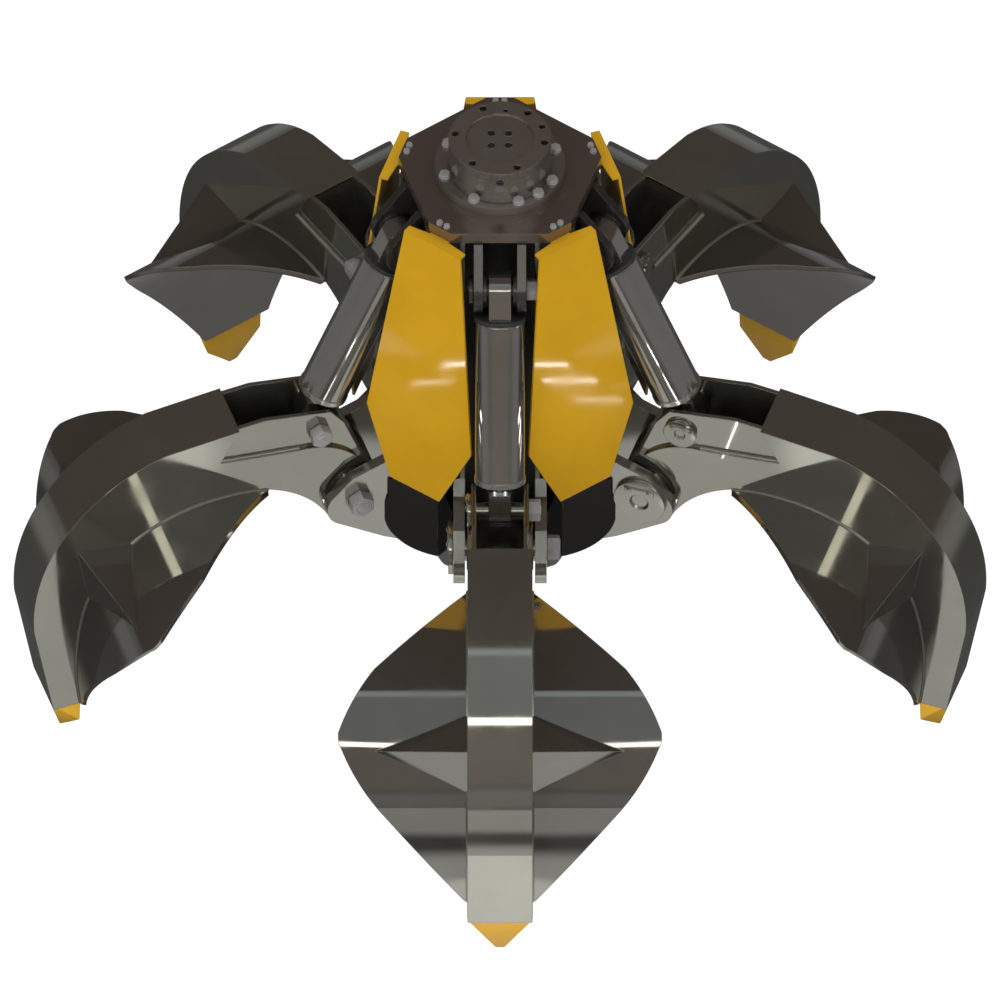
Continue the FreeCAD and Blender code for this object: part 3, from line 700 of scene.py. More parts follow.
def rounded_disc(
    mesh: Solid, radius: float, low: float, high: float, place: Matrix, sides: int, round_by: float
) -> None:
    """Add a disc or a hexagon with softened rims.

    Args:
        mesh: where it is added.
        radius: out to its corners.
        low: its lower face along the axis.
        high: its upper face along the axis.
        place: its placement.
        sides: 6 for a nut or a bolt head.
        round_by: how far the rims are softened.
    """
    verts = bar(mesh, radius, high - low, sides, lifted(place, (low + high) / 2))
    if not round_by:
        return
    axis = (place.to_3x3() @ UP).normalized()
    rims = {
        edge
        for vert in verts
        for edge in vert.link_edges
        if abs((edge.verts[0].co - edge.verts[1].co).normalized().dot(axis)) < 0.5
    }
    soften(mesh, rims, round_by)


def ring(mesh: Solid, radius: float, thick: float, place: Matrix, steps: int = 64, sides: int = 10) -> None:
    """Add a round ring about the placement's axis.

    Args:
        mesh: where it is added.
        radius: to the middle of the ring's section.
        thick: the section's radius.
        place: its placement.
        steps: how many steps go round it.
        sides: how many sides its section has.
    """
    section = bmesh.ops.create_circle(mesh, cap_ends=False, segments=sides, radius=thick)
    turn = Matrix.Translation((radius, 0, 0)) @ Matrix.Rotation(math.pi / 2, 4, "X")
    bmesh.ops.transform(mesh, matrix=place @ turn, verts=section["verts"])
    edges = {edge for vert in section["verts"] for edge in vert.link_edges}
    centre = place @ Vector((0, 0, 0))
    axis = place.to_3x3() @ UP
    bmesh.ops.spin(
        mesh, geom=list(edges) + section["verts"], cent=centre, axis=axis, angle=math.tau,
        steps=steps, use_merge=True,
    )


@dataclass
class Tine:
    """Where one tine's pins are, read from the joints."""

    number: int
    pivot: Vector = field(init=False)
    top_pin: Vector = field(init=False)
    side: Vector = field(init=False)
    along: Vector = field(init=False)

    def __post_init__(self) -> None:
        """Read the joints."""
        joints = {joint["name"]: joint for joint in frame["joints"]}
        swing = joints[f"tine_swing_{self.number}"]
        self.pivot = Vector(swing["pos_m"])
        self.side = Vector(swing["axis"]).normalized()
        self.top_pin = Vector(joints[f"barrel_swing_{self.number}"]["pos_m"])
        self.along = Vector(joints[f"rod_slide_{self.number}"]["axis"]).normalized()

    @property
    def outward(self) -> Vector:
        """The level direction away from the middle."""
        return self.side.cross(UP)

    @property
    def body(self) -> str:
        """The CAD body's name."""
        return f"tine_{self.number}"

    def at(self, spot: Spot, aside: float) -> Vector:
        """A point of the tine.

        Args:
            spot: its reach from the middle and its height.
            aside: its place across the tine.

        Returns:
            The point in the part's frame.
        """
        return self.outward * spot[0] + self.side * aside + Vector((0, 0, spot[1]))


@dataclass(frozen=True)
class PinKind:
    """The sizes of one kind of pin with its head and nut.

    Attributes:
        radius: the shank's radius.
        sides: how many sides the shank has.
        face: from the tine's middle to the face that head and nut sit on.
        head_radius: the head's radius.
        head_thick: the head's thickness.
        nut_flats: the size across the nut's flats.
        nut_tall: the nut's height.
        stud: the thread's radius.
    """

    radius: float
    sides: int
    face: float
    head_radius: float
    head_thick: float
    nut_flats: float
    nut_tall: float
    stud: float


PIVOT_PIN = PinKind(0.033, 48, 0.1123, 0.065, 0.012, 0.054, 0.031, 0.0198)
TOP_PIN = PinKind(0.022, 40, 0.0633, 0.034, 0.011, 0.046, 0.026, 0.0132)
ROD_PIN = PinKind(0.0225, 40, 0.0683, 0.041, 0.011, 0.048, 0.029, 0.0112)


@dataclass
class PinHardware:
    """Pins with disc heads and hex nuts, one kind at each of a tine's three pivots."""

    tines: list[Tine]
    rod_pin_spot: Spot = (0.478, -0.785)
    eye_face: float = 0.0267
    head_sides: int = 72
    nut_round: float = 0.045
    stud_core: float = 0.8
    stud_proud: float = 0.0015
    stud_round: float = 0.001
    thread_middle: float = 0.94
    thread_thick: float = 0.08
    rim_round: float = 0.0016
    land_share: float = 0.6
    recess_chamfer: float = 0.0015
    recess_share: float = 0.06
    recess_deep: float = 0.004
    keeper_long: float = 1.12
    keeper_wide: float = 0.28
    keeper_thick: float = 0.003
    keeper_off: float = 0.56
    keeper_lift: float = 0.0012
    keeper_round: float = 0.0008
    screw_off: float = 0.34
    screw_radius: float = 0.085
    screw_top: float = 0.0052
    screw_foot: float = 0.002
    screw_round: float = 0.0005

    def nut(self, mesh: Solid, place: Matrix, kind: PinKind) -> None:
        """Add a chamfered hex nut with the end of its thread.

        Args:
            mesh: where it is added.
            place: the pin's axis.
            kind: the pin's sizes.
        """
        low, high = kind.face, kind.face + kind.nut_tall
        corner = kind.nut_flats / math.sqrt(3)
        rounded_disc(mesh, corner, low, high, place, sides=6, round_by=kind.nut_flats * self.nut_round)
        middle = low + kind.nut_tall * 0.5
        core = kind.stud * self.stud_core
        rounded_disc(mesh, core, middle, high + self.stud_proud, place, sides=32, round_by=self.stud_round)
        thread = kind.stud * self.thread_middle
        ring(mesh, thread, kind.stud * self.thread_thick, lifted(place, high), steps=40, sides=8)

    def head(self, mesh: Solid, place: Matrix, kind: PinKind) -> None:
        """Add a disc head with a deep centre recess, and its keeper.

        Args:
            mesh: where it is added.
            place: the pin's axis.
            kind: the pin's sizes.
        """
        low = -kind.face - kind.head_thick
        shell = bmesh.new()
        middle = Matrix.Translation((0, 0, low + kind.head_thick / 2))
        bar(shell, kind.head_radius, kind.head_thick, self.head_sides, middle)
        rim = [edge for edge in shell.edges if abs(edge.verts[0].co.z - edge.verts[1].co.z) < SAME_POINT]
        soften(shell, rim, self.rim_round)
        face = min(shell.faces, key=lambda item: (item.calc_center_median().z, -item.calc_area()))
        steps = (
            (kind.head_radius * self.land_share, 0.0),
            (self.recess_chamfer, self.recess_chamfer),
            (kind.head_radius * self.recess_share, self.recess_deep),
        )
        for inset, depth in steps:
            bmesh.ops.inset_region(shell, faces=[face], thickness=inset, depth=0.0, use_even_offset=True)
            bmesh.ops.translate(shell, vec=(0, 0, depth), verts=face.verts)
        bmesh.ops.transform(shell, matrix=place, verts=shell.verts)
        join_into(mesh, shell)
        self.keeper(mesh, place, kind.head_radius, low)

    def keeper(self, mesh: Solid, place: Matrix, radius: float, low: float) -> None:
        """Add the small plate with two screws that keeps a head from turning.

        Args:
            mesh: where it is added.
            place: the pin's axis.
            radius: the head's radius.
            low: the head's outer face along the axis.
        """
        plate = bmesh.new()
        bmesh.ops.create_cube(plate, size=1.0)
        long = radius * self.keeper_long
        size = Matrix.Diagonal((long, long * self.keeper_wide, self.keeper_thick, 1.0))
        shift = Matrix.Translation((0, radius * self.keeper_off, low - self.keeper_lift))
        bmesh.ops.transform(plate, matrix=place @ shift @ size, verts=plate.verts)
        soften(plate, plate.edges, self.keeper_round, segments=2)
        join_into(mesh, plate)
        for side in (-1, 1):
            spot = Matrix.Translation((side * long * self.screw_off, radius * self.keeper_off, 0))
            rounded_disc(
                mesh, radius * self.screw_radius, low - self.screw_top, low - self.screw_foot, place @ spot,
                sides=6, round_by=self.screw_round,
            )

    @staticmethod
    def shank(mesh: Solid, place: Matrix, kind: PinKind, low: float, high: float) -> None:
        """Add a plain stretch of a pin.

        Args:
            mesh: where it is added.
            place: the pin's axis.
            kind: the pin's sizes.
            low: where it starts along the axis.
            high: where it ends.
        """
        rounded_disc(mesh, kind.radius, low, high, place, sides=kind.sides, round_by=0.0)

    def rod_pin(self, tine: Tine) -> None:
        """Make one tine's rod pin, open between the arm's cheeks for the rod's eye.

        Args:
            tine: the tine.
        """
        pin, nut = bmesh.new(), bmesh.new()
        place = towards(tine.at(self.rod_pin_spot, 0), tine.side)
        self.head(pin, place, ROD_PIN)
        self.shank(pin, place, ROD_PIN, -ROD_PIN.face, -self.eye_face)
        self.shank(pin, place, ROD_PIN, self.eye_face, ROD_PIN.face)
        self.nut(nut, place, ROD_PIN)
        piece = placed(f"rod_pin_head_{tine.number}", pin, ARM_PAINT, tine.body)
        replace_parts(piece, f"rod_pin_{tine.number}")
        placed(f"rod_pin_nut_{tine.number}", nut, ZINC, tine.body)

    def build(self) -> None:
        """Make the pins and nuts in place of the plain ones."""
        pivots, pivot_nuts, tops, top_nuts = (bmesh.new() for _ in range(4))
        for tine in self.tines:
            for centre, pins, nuts, kind in (
                (tine.pivot, pivots, pivot_nuts, PIVOT_PIN),
                (tine.top_pin, tops, top_nuts, TOP_PIN),
            ):
                place = towards(centre, tine.side)
                self.head(pins, place, kind)
                self.shank(pins, place, kind, -kind.face, kind.face)
                self.nut(nuts, place, kind)
            self.rod_pin(tine)
        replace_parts(placed("pivot_pin_set", pivots, FRAME_PAINT, "frame"), "pivot_pins")
        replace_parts(placed("pivot_nut_set", pivot_nuts, ZINC, "frame"), "pivot_nuts")
        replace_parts(placed("top_pin_set", tops, CLEVIS_PAINT, "frame"), "top_pins")
        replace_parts(placed("top_nut_set", top_nuts, ZINC, "frame"), "top_nuts")


@dataclass
class HeadBolts:
    """Hex bolts with washers on the rotator's flange and the head plate's corners."""

    circle: float = 0.140
    first: float = 18.5
    step: float = 45.0
    extra: float = 311.0
    seat: float = -0.084
    large_flats: float = 0.0235
    large_tall: float = 0.0105
    large_turn: float = 0.7
    plate_top: float = -0.108
    corner_first: float = -54.0
    corner_circle: float = 0.232
    corner_apart: float = 0.0209
    small_flats: float = 0.0135
    small_tall: float = 0.007
    washer_out: float = 0.62
    washer_tall: float = 0.2
    washer_round: float = 0.0005
    head_round: float = 0.05

    def bolt(self, mesh: Solid, point: Vector, flats: float, tall: float, turn: float) -> None:
        """Add one bolt head with its washer.

        Args:
            mesh: where it is added.
            point: where it sits.
            flats: the size across its flats.
            tall: the height of washer and head together.
            turn: how far the head is turned, in radians.
        """
        place = Matrix.Translation(point) @ Matrix.Rotation(turn, 4, "Z")
        washer = tall * self.washer_tall
        rounded_disc(mesh, flats * self.washer_out, 0.0, washer, place, sides=32, round_by=self.washer_round)
        corner = flats / math.sqrt(3)
        rounded_disc(mesh, corner, washer, tall, place, sides=6, round_by=flats * self.head_round)

    def build(self) -> None:
        """Make both sets in place of the plain bolts."""
        large, small = bmesh.new(), bmesh.new()
        for index, angle in enumerate([self.first + self.step * n for n in range(8)] + [self.extra]):
            turn = math.radians(angle)
            point = Vector((self.circle * math.cos(turn), self.circle * math.sin(turn), self.seat))
            self.bolt(large, point, self.large_flats, self.large_tall, index * self.large_turn)
        for number in range(TINES):
            turn = math.radians(self.corner_first + PITCH * number)
            middle = Vector((math.cos(turn), math.sin(turn), 0)) * self.corner_circle
            for side in (-1, 1):
                across = Vector((-math.sin(turn), math.cos(turn), 0)) * side * self.corner_apart / 2
                point = middle + across + Vector((0, 0, self.plate_top))
                self.bolt(small, point, self.small_flats, self.small_tall, number + side)
        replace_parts(placed("rotator_bolt_set", large, ZINC, "frame"), "rotator_bolts")
        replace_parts(placed("cover_bolt_set", small, ZINC, "frame"), "cover_bolts")


@dataclass
class CylinderTrim:
    """The end band, weld rings, rod wiper and gland screws of each hydraulic cylinder."""

    tines: list[Tine]
    barrel_radius: float = 0.060
    barrel_start: float = 0.067
    barrel_end: float = 0.483
    rod_radius: float = 0.030
    band_radius: float = 0.0622
    band_below: float = 0.001
    band_tall: float = 0.0095
    band_round: float = 0.002
    upper_weld: tuple[float, float, float] = (0.0005, 0.0026, 0.0115)
    lower_weld: tuple[float, float, float] = (-0.001, 0.002, -0.001)
    lip: float = 0.0125
    wiper_out: float = 0.0045
    wiper_thick: float = 0.0036
    screws: int = 6
    screw_circle: float = 0.0475
    screw_sunk: float = 0.0006
    screw_radius: float = 0.0052
    screw_tall: float = 0.0035
    screw_round: float = 0.0006

    def build(self) -> None:
        """Dress all five cylinders."""
        for tine in self.tines:
            place = towards(tine.top_pin, tine.along)
            self.band(tine.number, place)
            self.welds(tine.number, place)
            self.gland(tine.number, lifted(place, self.barrel_end + self.lip))

    def band(self, number: int, place: Matrix) -> None:
        """Make the dark band round a barrel's upper end.

        Args:
            number: the tine's number.
            place: the cylinder's axis from its top pin.
        """
        mesh = bmesh.new()
        low, high = self.barrel_start - self.band_below, self.barrel_start + self.band_tall
        rounded_disc(mesh, self.band_radius, low, high, place, sides=64, round_by=self.band_round)
        placed(f"end_band_{number}", mesh, SEAL, f"barrel_{number}")

    def welds(self, number: int, place: Matrix) -> None:
        """Make the weld rings at a barrel's two ends.

        Args:
            number: the tine's number.
            place: the cylinder's axis from its top pin.
        """
        mesh = bmesh.new()
        for end, weld in ((self.barrel_start, self.upper_weld), (self.barrel_end, self.lower_weld)):
            out, thick, on = weld
            ring(mesh, self.barrel_radius + out, thick, lifted(place, end + on))
        placed(f"barrel_welds_{number}", mesh, BARREL_PAINT, f"barrel_{number}")

    def gland(self, number: int, lip: Matrix) -> None:
        """Make the wiper round a rod and the screws that hold its gland.

        Args:
            number: the tine's number.
            lip: the placement of the gland's outer face.
        """
        wiper = bmesh.new()
        ring(wiper, self.rod_radius + self.wiper_out, self.wiper_thick, lip, steps=48)
        placed(f"rod_wiper_{number}", wiper, SEAL, f"barrel_{number}")
        mesh = bmesh.new()
        for index in range(self.screws):
            turn = Matrix.Rotation(math.tau * index / self.screws, 4, "Z")
            spot = lip @ turn @ Matrix.Translation((self.screw_circle, 0, -self.screw_sunk))
            rounded_disc(
                mesh, self.screw_radius, 0.0, self.screw_tall, spot, sides=16, round_by=self.screw_round
            )
        placed(f"gland_screws_{number}", mesh, ZINC, f"barrel_{number}")


@dataclass
class RotatorTrim:
    """Port plugs, the seam ring and the side port of the rotator; the plugs are near black, painted shade for
    the open ports.
    """

    port_ring: float = 0.029
    port_angles: tuple[float, ...] = (45.0, 135.0, 225.0, 315.0)
    recess: float = -0.005
    port_edge: tuple[float, float] = (0.0102, 0.0012)
    plug_radius: float = 0.0096
    plug_low: float = -0.006
    plug_high: float = -0.003
    plug_round: float = 0.0008
    seam: float = -0.067
    seam_edge: tuple[float, float] = (0.1205, 0.0016)
    side_port: Place = (0.0, -0.118, -0.03325)
    side_edge: tuple[float, float] = (0.0125, 0.0014)
    hex_radius: float = 0.0115
    hex_low: float = -0.001
    hex_high: float = 0.0015

    def build(self) -> None:
        """Make the plugs and rings."""
        self.ports()
        seam = bmesh.new()
        ring(seam, *self.seam_edge, Matrix.Translation((0, 0, self.seam)), steps=96)
        placed("slew_seal", seam, SEAL, "frame")
        side = bmesh.new()
        place = towards(Vector(self.side_port), Vector((0, -1, 0)))
        ring(side, *self.side_edge, place, steps=40, sides=8)
        rounded_disc(
            side, self.hex_radius, self.hex_low, self.hex_high, place, sides=6, round_by=self.plug_round
        )
        # The side plug is near black too: painted shade for the port's dark notch.
        placed("side_port_plug", side, PORT_SHADE_STEEL, "rotator_stator")

    def ports(self) -> None:
        """Make the plugs of the four hose ports, near black as painted shade for their openings."""
        mesh = bmesh.new()
        for angle in self.port_angles:
            turn = math.radians(angle)
            point = Vector((self.port_ring * math.cos(turn), self.port_ring * math.sin(turn), self.recess))
            place = Matrix.Translation(point)
            ring(mesh, *self.port_edge, place, steps=32, sides=8)
            rounded_disc(
                mesh, self.plug_radius, self.plug_low, self.plug_high, place,
                sides=32, round_by=self.plug_round,
            )
        placed("port_plugs", mesh, PORT_SHADE_STEEL, "rotator_stator")


@dataclass(frozen=True)
class Arc:
    """A stretch of the blade's curve in a tine's radial plane."""

    centre: Spot
    radius: float
    first: float
    turn: float


def tangent_arcs(start: Spot, heading: float, stops: Iterable[Spot]) -> list[Arc]:
    """Arcs that run on smoothly from point to point.

    Args:
        start: the first point.
        heading: the direction there, in radians.
        stops: where each arc ends.

    Returns:
        The arcs.
    """
    arcs = []
    x, y = start
    for stop_x, stop_y in stops:
        chord = math.atan2(stop_y - y, stop_x - x)
        turn = 2 * (chord - heading)
        radius = math.hypot(stop_x - x, stop_y - y) / 2 / math.sin(abs(turn) / 2)
        side = -1 if turn < 0 else 1
        centre = (x - side * radius * math.sin(heading), y + side * radius * math.cos(heading))
        arcs.append(Arc(centre, radius, math.atan2(y - centre[1], x - centre[0]), turn))
        x, y = stop_x, stop_y
        heading += turn
    return arcs


@dataclass
class TineTrim:
    """Weld beads where each arm's cheeks meet the blade, along its ledges and around the hub."""

    tines: list[Tine]
    half: float = 0.078
    bead: float = 0.0042
    bead_sides: int = 8
    bead_steps: int = 26
    start: Spot = (0.610, -0.931)
    heading: float = math.radians(12.5)
    stops: tuple[Spot, ...] = ((0.883, -0.962), (1.075, -1.200), (1.084, -1.507))
    ledge: tuple[Spot, ...] = ((0.530, -0.822), (0.682, -0.810), (0.729, -0.805))
    ledge_aside: float = 0.0705
    ledge_bead: float = 0.0062
    ledge_sides: int = 12
    hub_radius: float = 0.0525
    hub_bead: float = 0.0028
    hub_sunk: float = 0.99

    def build(self) -> None:
        """Make the beads of all five tines."""
        arcs = tangent_arcs(self.start, self.heading, self.stops)
        for tine in self.tines:
            mesh = bmesh.new()
            for side in (-1, 1):
                for arc in arcs:
                    self.sweep(mesh, tine, arc, side * self.half)
            for side in (-1, 1):
                for here, there in zip(self.ledge, self.ledge[1:]):
                    self.straight(mesh, tine, (here, there), side * self.ledge_aside)
            for side in (-1, 1):
                place = towards(tine.pivot + tine.side * (side * self.half * self.hub_sunk), tine.side)
                ring(mesh, self.hub_radius, self.hub_bead, place, steps=56, sides=8)
            placed(f"tine_welds_{tine.number}", mesh, WELD, tine.body)

    def straight(self, mesh: Solid, tine: Tine, ends: tuple[Spot, Spot], aside: float) -> None:
        """Add a straight bead.

        Args:
            mesh: where it is added.
            tine: the tine.
            ends: its two ends, each as reach and height.
            aside: how far out sideways it lies.
        """
        start, end = (tine.at(spot, aside) for spot in ends)
        place = towards((start + end) / 2, end - start)
        bar(mesh, self.ledge_bead, (end - start).length, self.ledge_sides, place)

    def sweep(self, mesh: Solid, tine: Tine, arc: Arc, aside: float) -> None:
        """Add one bead along an arc.

        Args:
            mesh: where it is added.
            tine: the tine.
            arc: the stretch of the blade's curve.
            aside: how far out sideways the bead lies.
        """
        centre = tine.at(arc.centre, aside)
        start = tine.outward * math.cos(arc.first) + Vector((0, 0, math.sin(arc.first)))
        circle = bmesh.ops.create_circle(mesh, cap_ends=False, segments=self.bead_sides, radius=self.bead)
        place = towards(centre + start * arc.radius, tine.side.cross(start))
        bmesh.ops.transform(mesh, matrix=place, verts=circle["verts"])
        edges = {edge for vert in circle["verts"] for edge in vert.link_edges}
        bmesh.ops.spin(
            mesh, geom=list(edges) + circle["verts"], cent=centre, axis=-tine.side, angle=arc.turn,
            steps=self.bead_steps, use_merge=False,
        )


@dataclass
class Teeth:
    """The welded points that finish the tines, drawn in to a blunt end."""

    tines: list[Tine]
    end_half: float = 0.011
    wide_half: float = 0.06
    rounding: float = 0.0025
    same_corner: float = 1e-5
    flat_limit: float = math.radians(1)
    sharp_limit: float = math.radians(20)

    def build(self) -> None:
        """Make all five teeth, each over its tine's own tip."""
        for tine in self.tines:
            node = f"tine_tip_{tine.number}"
            mesh = bmesh.new()
            mesh.from_mesh(frame["nodes"][node].data)
            bmesh.ops.remove_doubles(mesh, verts=mesh.verts, dist=self.same_corner)
            bmesh.ops.dissolve_limit(mesh, angle_limit=self.flat_limit, verts=mesh.verts, edges=mesh.edges)
            for vert in mesh.verts:
                aside = vert.co.dot(tine.side)
                if abs(aside) < self.wide_half:
                    vert.co += tine.side * (math.copysign(self.end_half, aside) - aside)
            sharp = [edge for edge in mesh.edges if edge.calc_face_angle(0.0) > self.sharp_limit]
            soften(mesh, sharp, self.rounding, segments=2)
            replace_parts(placed(f"tooth_{tine.number}", mesh, TOOTH_PAINT, tine.body), node)


@dataclass(frozen=True)
class Pool:
    """A round patch of the floor's glow, seen in reflections only.

    Attributes:
        middle: its middle on the floor.
        bright: the radius where it has its full level.
        dark: the radius where it has gone; the smaller one where the glow lies outside.
        level: how bright it is.
    """

    middle: Spot
    bright: float
    dark: float
    level: float


@dataclass(frozen=True)
class Lamp:
    """A soft square lamp: its name, where it hangs, its width and its power in watts."""

    name: str
    place: Place
    width: float
    power: float


@dataclass(frozen=True)
class Glint:
    """A pale bar mirrored on a guard: its two ends there and how bright it is."""

    start: Place
    end: Place
    level: float


@dataclass(frozen=True)
class Room:
    """What surrounds the grapple: white to the camera, a dim warm studio to everything else.

    The bands are shares of the direction's height, or of its part away from the camera.
    """

    front: Ramp = Ramp(-0.2, 0.05, 1.0, 0.0)
    box: Band = Band(0.58, 0.945, 0.006)
    rim: Band = Band(0.945, 0.968, 0.004)
    line: Band = Band(0.545, 0.6, 0.006)
    low: Band = Band(-1.0, 0.545, 0.01)
    side_ahead: Band = Band(-0.2, -0.02, 0.02)
    side_height: Band = Band(-0.35, 0.4, 0.1)
    ceiling: Colour = (0.072, 0.054, 0.044)
    soft_box: Colour = (0.26, 0.27, 0.29)
    blue_rim: Colour = (0.48, 0.54, 0.6)
    low_wall: Colour = (0.205, 0.182, 0.162)
    side_strip: Colour = (0.6, 0.58, 0.54)
    light_line: Colour = (4.0, 4.0, 3.8)
    soft_light: Ramp = Ramp(-0.4, 0.9, 0.3, 1.1)

    def mirrored(self, bench: Bench, ahead: Socket, height: Socket) -> Socket:
        """The colours that reflections show.

        Args:
            bench: the world's bench.
            ahead: the direction's part away from the camera.
            height: the direction's height.

        Returns:
            The colour's socket.
        """
        front = bench.spread(ahead, self.front)
        side = bench.math(
            "MULTIPLY", bench.inside(ahead, self.side_ahead), bench.inside(height, self.side_height)
        )
        box, rim, low, line = (
            bench.math("MULTIPLY", bench.inside(height, band), front)
            for band in (self.box, self.rim, self.low, self.line)
        )
        shown = rgba(self.ceiling)
        for share, colour in (
            (box, self.soft_box),
            (rim, self.blue_rim),
            (low, self.low_wall),
            (side, self.side_strip),
            (line, self.light_line),
        ):
            shown = bench.mix(share, shown, rgba(colour))
        return shown

    def build(self) -> None:
        """Make the world."""
        world = bpy.data.worlds.new("studio")
        bpy.context.scene.world = world
        world.use_nodes = True
        world.cycles.sampling_method = "NONE"
        bench = Bench(world.node_tree)
        back = world.node_tree.nodes["Background"]
        split = bench.add("ShaderNodeSeparateXYZ")
        bench.feed(split, 0, bench.add("ShaderNodeTexCoord").outputs["Generated"])
        height = split.outputs["Z"]
        shown = self.mirrored(bench, split.outputs["Y"], height)
        path = bench.add("ShaderNodeLightPath")
        soft = bench.grey(bench.spread(height, self.soft_light))
        lit = bench.mix(path.outputs["Is Diffuse Ray"], shown, soft)
        bench.feed(back, "Color", bench.mix(path.outputs["Is Camera Ray"], lit, rgba((1.0, 1.0, 1.0))))
        back.inputs["Strength"].default_value = 1.0


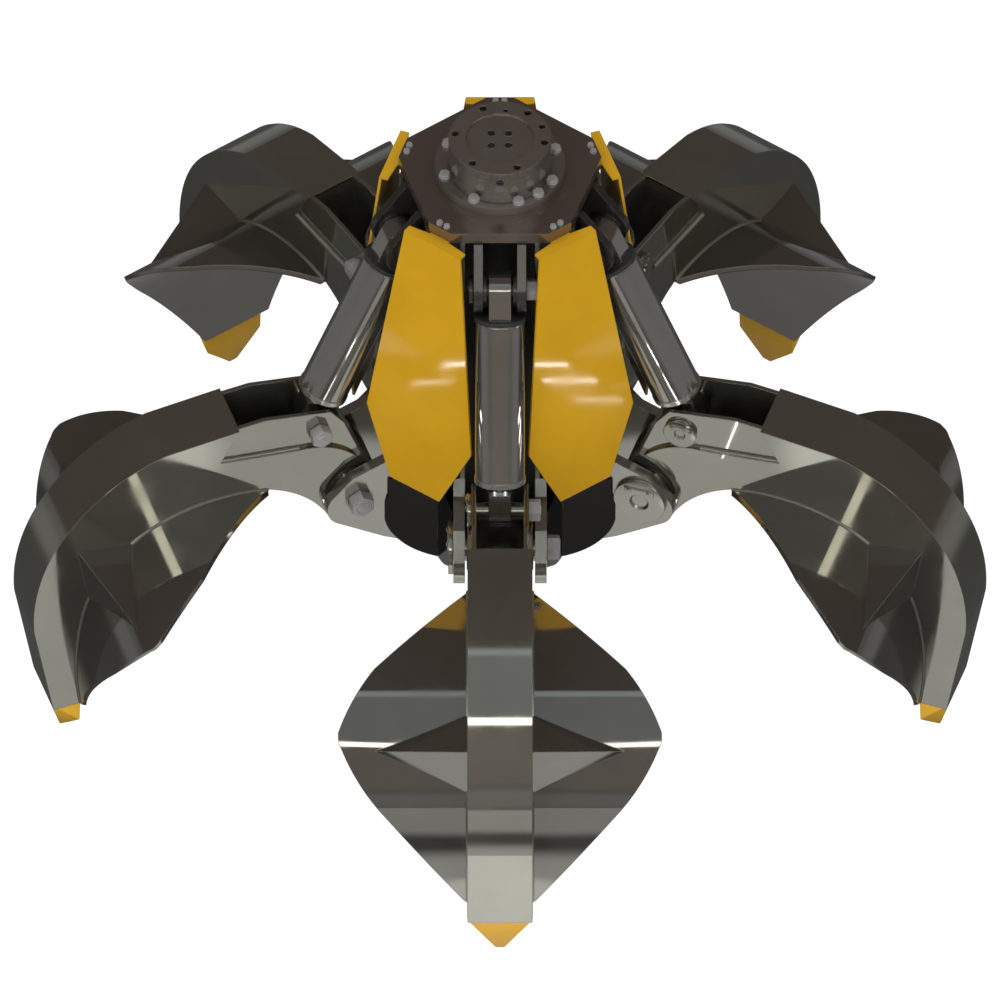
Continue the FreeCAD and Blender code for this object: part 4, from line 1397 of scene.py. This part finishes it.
@dataclass
class Studio:
    """The pale floor, the soft light and the level-scale camera at the picture's angle."""

    aim: Vector = field(default_factory=lambda: Vector((0.0, 0.0, -1.2288)))
    scale: float = 2.4
    elevation: float = math.radians(45)
    away: float = 6.0
    far: float = 50.0
    floor_height: float = -2.15
    floor_half: float = 30.0
    floor_colour: Colour = (0.22, 0.22, 0.22)
    white_level: float = 0.88
    pools: tuple[Pool, ...] = (
        Pool((0.0, -1.53), 0.12, 0.22, 0.5),
        Pool((0.0, -1.1), 0.85, 1.2, 0.54),
        Pool((0.0, 0.85), 0.7, 1.3, 0.17),
        Pool((0.0, -3.4), 0.6, 0.95, 0.4),
        Pool((0.0, 0.0), 8.0, 14.0, 0.07),
        Pool((0.0, 0.0), 5.0, 3.5, 0.16),
    )
    lamps: tuple[Lamp, ...] = (
        Lamp("key", (-1.6, -4.4, 0.4), 2.5, 100.0),
        Lamp("fill", (2.4, -4.0, -0.3), 2.5, 50.0),
    )
    guard_face: Place = (0.585, -0.806, 0.089)
    glint_away: float = 0.35
    glint_tall: float = 0.008
    glints: tuple[Glint, ...] = (
        Glint((-0.130, -0.290, -0.481), (-0.082, -0.320, -0.445), 16.0),
        Glint((-0.198, -0.250, -0.580), (-0.126, -0.296, -0.528), 6.0),
        Glint((0.088, -0.316, -0.452), (0.152, -0.274, -0.494), 15.0),
        Glint((0.120, -0.300, -0.521), (0.214, -0.239, -0.583), 14.0),
        Glint((0.190, -0.261, -0.625), (0.278, -0.204, -0.683), 7.0),
    )

    @property
    def sight(self) -> Vector:
        """The direction from the grapple to the camera."""
        return Vector((0, -math.cos(self.elevation), math.sin(self.elevation)))

    def build(self) -> None:
        """Set up all of it."""
        self.camera()
        self.floor()
        Room().build()
        for lamp in self.lamps:
            self.hang(lamp)
        for glint in self.glints:
            self.mirror(glint)
        bpy.context.scene.view_settings.view_transform = "Standard"

    def camera(self) -> None:
        """A parallel view, 45 degrees down along +Y."""
        data = bpy.data.cameras.new("camera")
        data.type = "ORTHO"
        data.ortho_scale = self.scale
        data.clip_end = self.far
        camera = linked("camera", data)
        camera.location = self.aim + self.sight * self.away
        camera.rotation_euler = (-self.sight).to_track_quat("-Z", "Y").to_euler()
        bpy.context.scene.camera = camera

    def floor(self) -> None:
        """A wide pale floor under the hanging grapple, white to the camera but for its shadow."""
        mesh = bmesh.new()
        bmesh.ops.create_grid(mesh, x_segments=1, y_segments=1, size=self.floor_half)
        bmesh.ops.translate(mesh, vec=(0, 0, self.floor_height), verts=mesh.verts)
        data = bpy.data.meshes.new("floor")
        mesh.to_mesh(data)
        mesh.free()
        data.materials.append(self.floor_material())
        linked("floor", data)

    def floor_material(self) -> bpy.types.Material:
        """The floor's material: matte and glowing to the camera, only glowing in reflections.

        Returns:
            The material.
        """
        material = bpy.data.materials.new("pale_floor")
        material.use_nodes = True
        bench = Bench(material.node_tree)
        out = material.node_tree.nodes["Material Output"]
        shader = material.node_tree.nodes["Principled BSDF"]
        shader.inputs["Base Color"].default_value = rgba(self.floor_colour)
        shader.inputs["Roughness"].default_value = 1.0
        shader.inputs["Specular IOR Level"].default_value = 0.0
        path = bench.add("ShaderNodeLightPath")
        to_camera, to_gloss = path.outputs["Is Camera Ray"], path.outputs["Is Glossy Ray"]
        bright = bench.math("MULTIPLY", to_camera, self.white_level)
        pooled = bench.math("MULTIPLY", to_gloss, self.pooled(bench))
        glow = bench.add("ShaderNodeEmission")
        bench.feed(glow, "Strength", bench.math("MAXIMUM", bright, pooled))
        both = bench.add("ShaderNodeAddShader")
        bench.feed(both, 0, shader.outputs[0])
        bench.feed(both, 1, glow.outputs[0])
        mirrored = bench.add("ShaderNodeMixShader")
        bench.feed(mirrored, 0, to_gloss)
        bench.feed(mirrored, 1, both.outputs[0])
        bench.feed(mirrored, 2, glow.outputs[0])
        bench.feed(out, "Surface", mirrored.outputs[0])
        return material

    def pooled(self, bench: Bench) -> Socket:
        """The pools' glow at a point of the floor.

        Args:
            bench: the floor material's bench.

        Returns:
            The level's socket.
        """
        where = bench.add("ShaderNodeTexCoord").outputs["Object"]
        total = 0.0
        for pool in self.pools:
            gap = bench.add("ShaderNodeVectorMath", operation="DISTANCE")
            bench.feed(gap, 0, where)
            gap.inputs[1].default_value = (*pool.middle, self.floor_height)
            glow = bench.spread(gap.outputs["Value"], Ramp(pool.bright, pool.dark, pool.level, 0.0))
            total = bench.math("ADD", total, glow)
        return total

    def hang(self, lamp: Lamp) -> None:
        """Add a lamp aimed at the grapple, hidden in reflections.

        Args:
            lamp: the lamp.
        """
        data = bpy.data.lights.new(lamp.name, "AREA")
        data.size = lamp.width
        data.energy = lamp.power
        item = linked(lamp.name, data)
        item.location = lamp.place
        item.rotation_euler = (self.aim - item.location).to_track_quat("-Z", "Y").to_euler()
        item.visible_glossy = False

    def mirror(self, glint: Glint) -> None:
        """Add the short tube light that a guard mirrors as a pale bar.

        Args:
            glint: the bar.
        """
        start, end = Vector(glint.start), Vector(glint.end)
        middle = (start + end) / 2
        out, ahead, height = self.guard_face
        face = Vector((math.copysign(out, middle.x), ahead, height)).normalized()
        sent = 2 * face.dot(self.sight) * face - self.sight
        long = (end - start).length
        data = bpy.data.lights.new("glint", "AREA")
        data.shape = "RECTANGLE"
        data.size = long
        data.size_y = self.glint_tall
        data.energy = glint.level * math.pi * long * self.glint_tall
        item = linked("glint", data)
        tube = end - start
        tube = (tube - sent * tube.dot(sent)).normalized()
        turn = Matrix((tube, sent.cross(tube), sent)).transposed()
        item.matrix_world = Matrix.Translation(middle + sent * self.glint_away) @ turn.to_4x4()
        item.visible_camera = False
        item.visible_diffuse = False


def main() -> None:
    """Build the whole picture."""
    tines = [Tine(number) for number in range(1, TINES + 1)]
    steps: list[Callable[[], None]] = [
        SoftEdge().build,
        PaintSkin().build,
        TurnedMetal().build,
        dress_nodes,
        Studio().build,
        PinHardware(tines).build,
        HeadBolts().build,
        CylinderTrim(tines).build,
        RotatorTrim().build,
        TineTrim(tines).build,
        Teeth(tines).build,
    ]
    for step in steps:
        step()


if __name__ == "__main__":
    main()
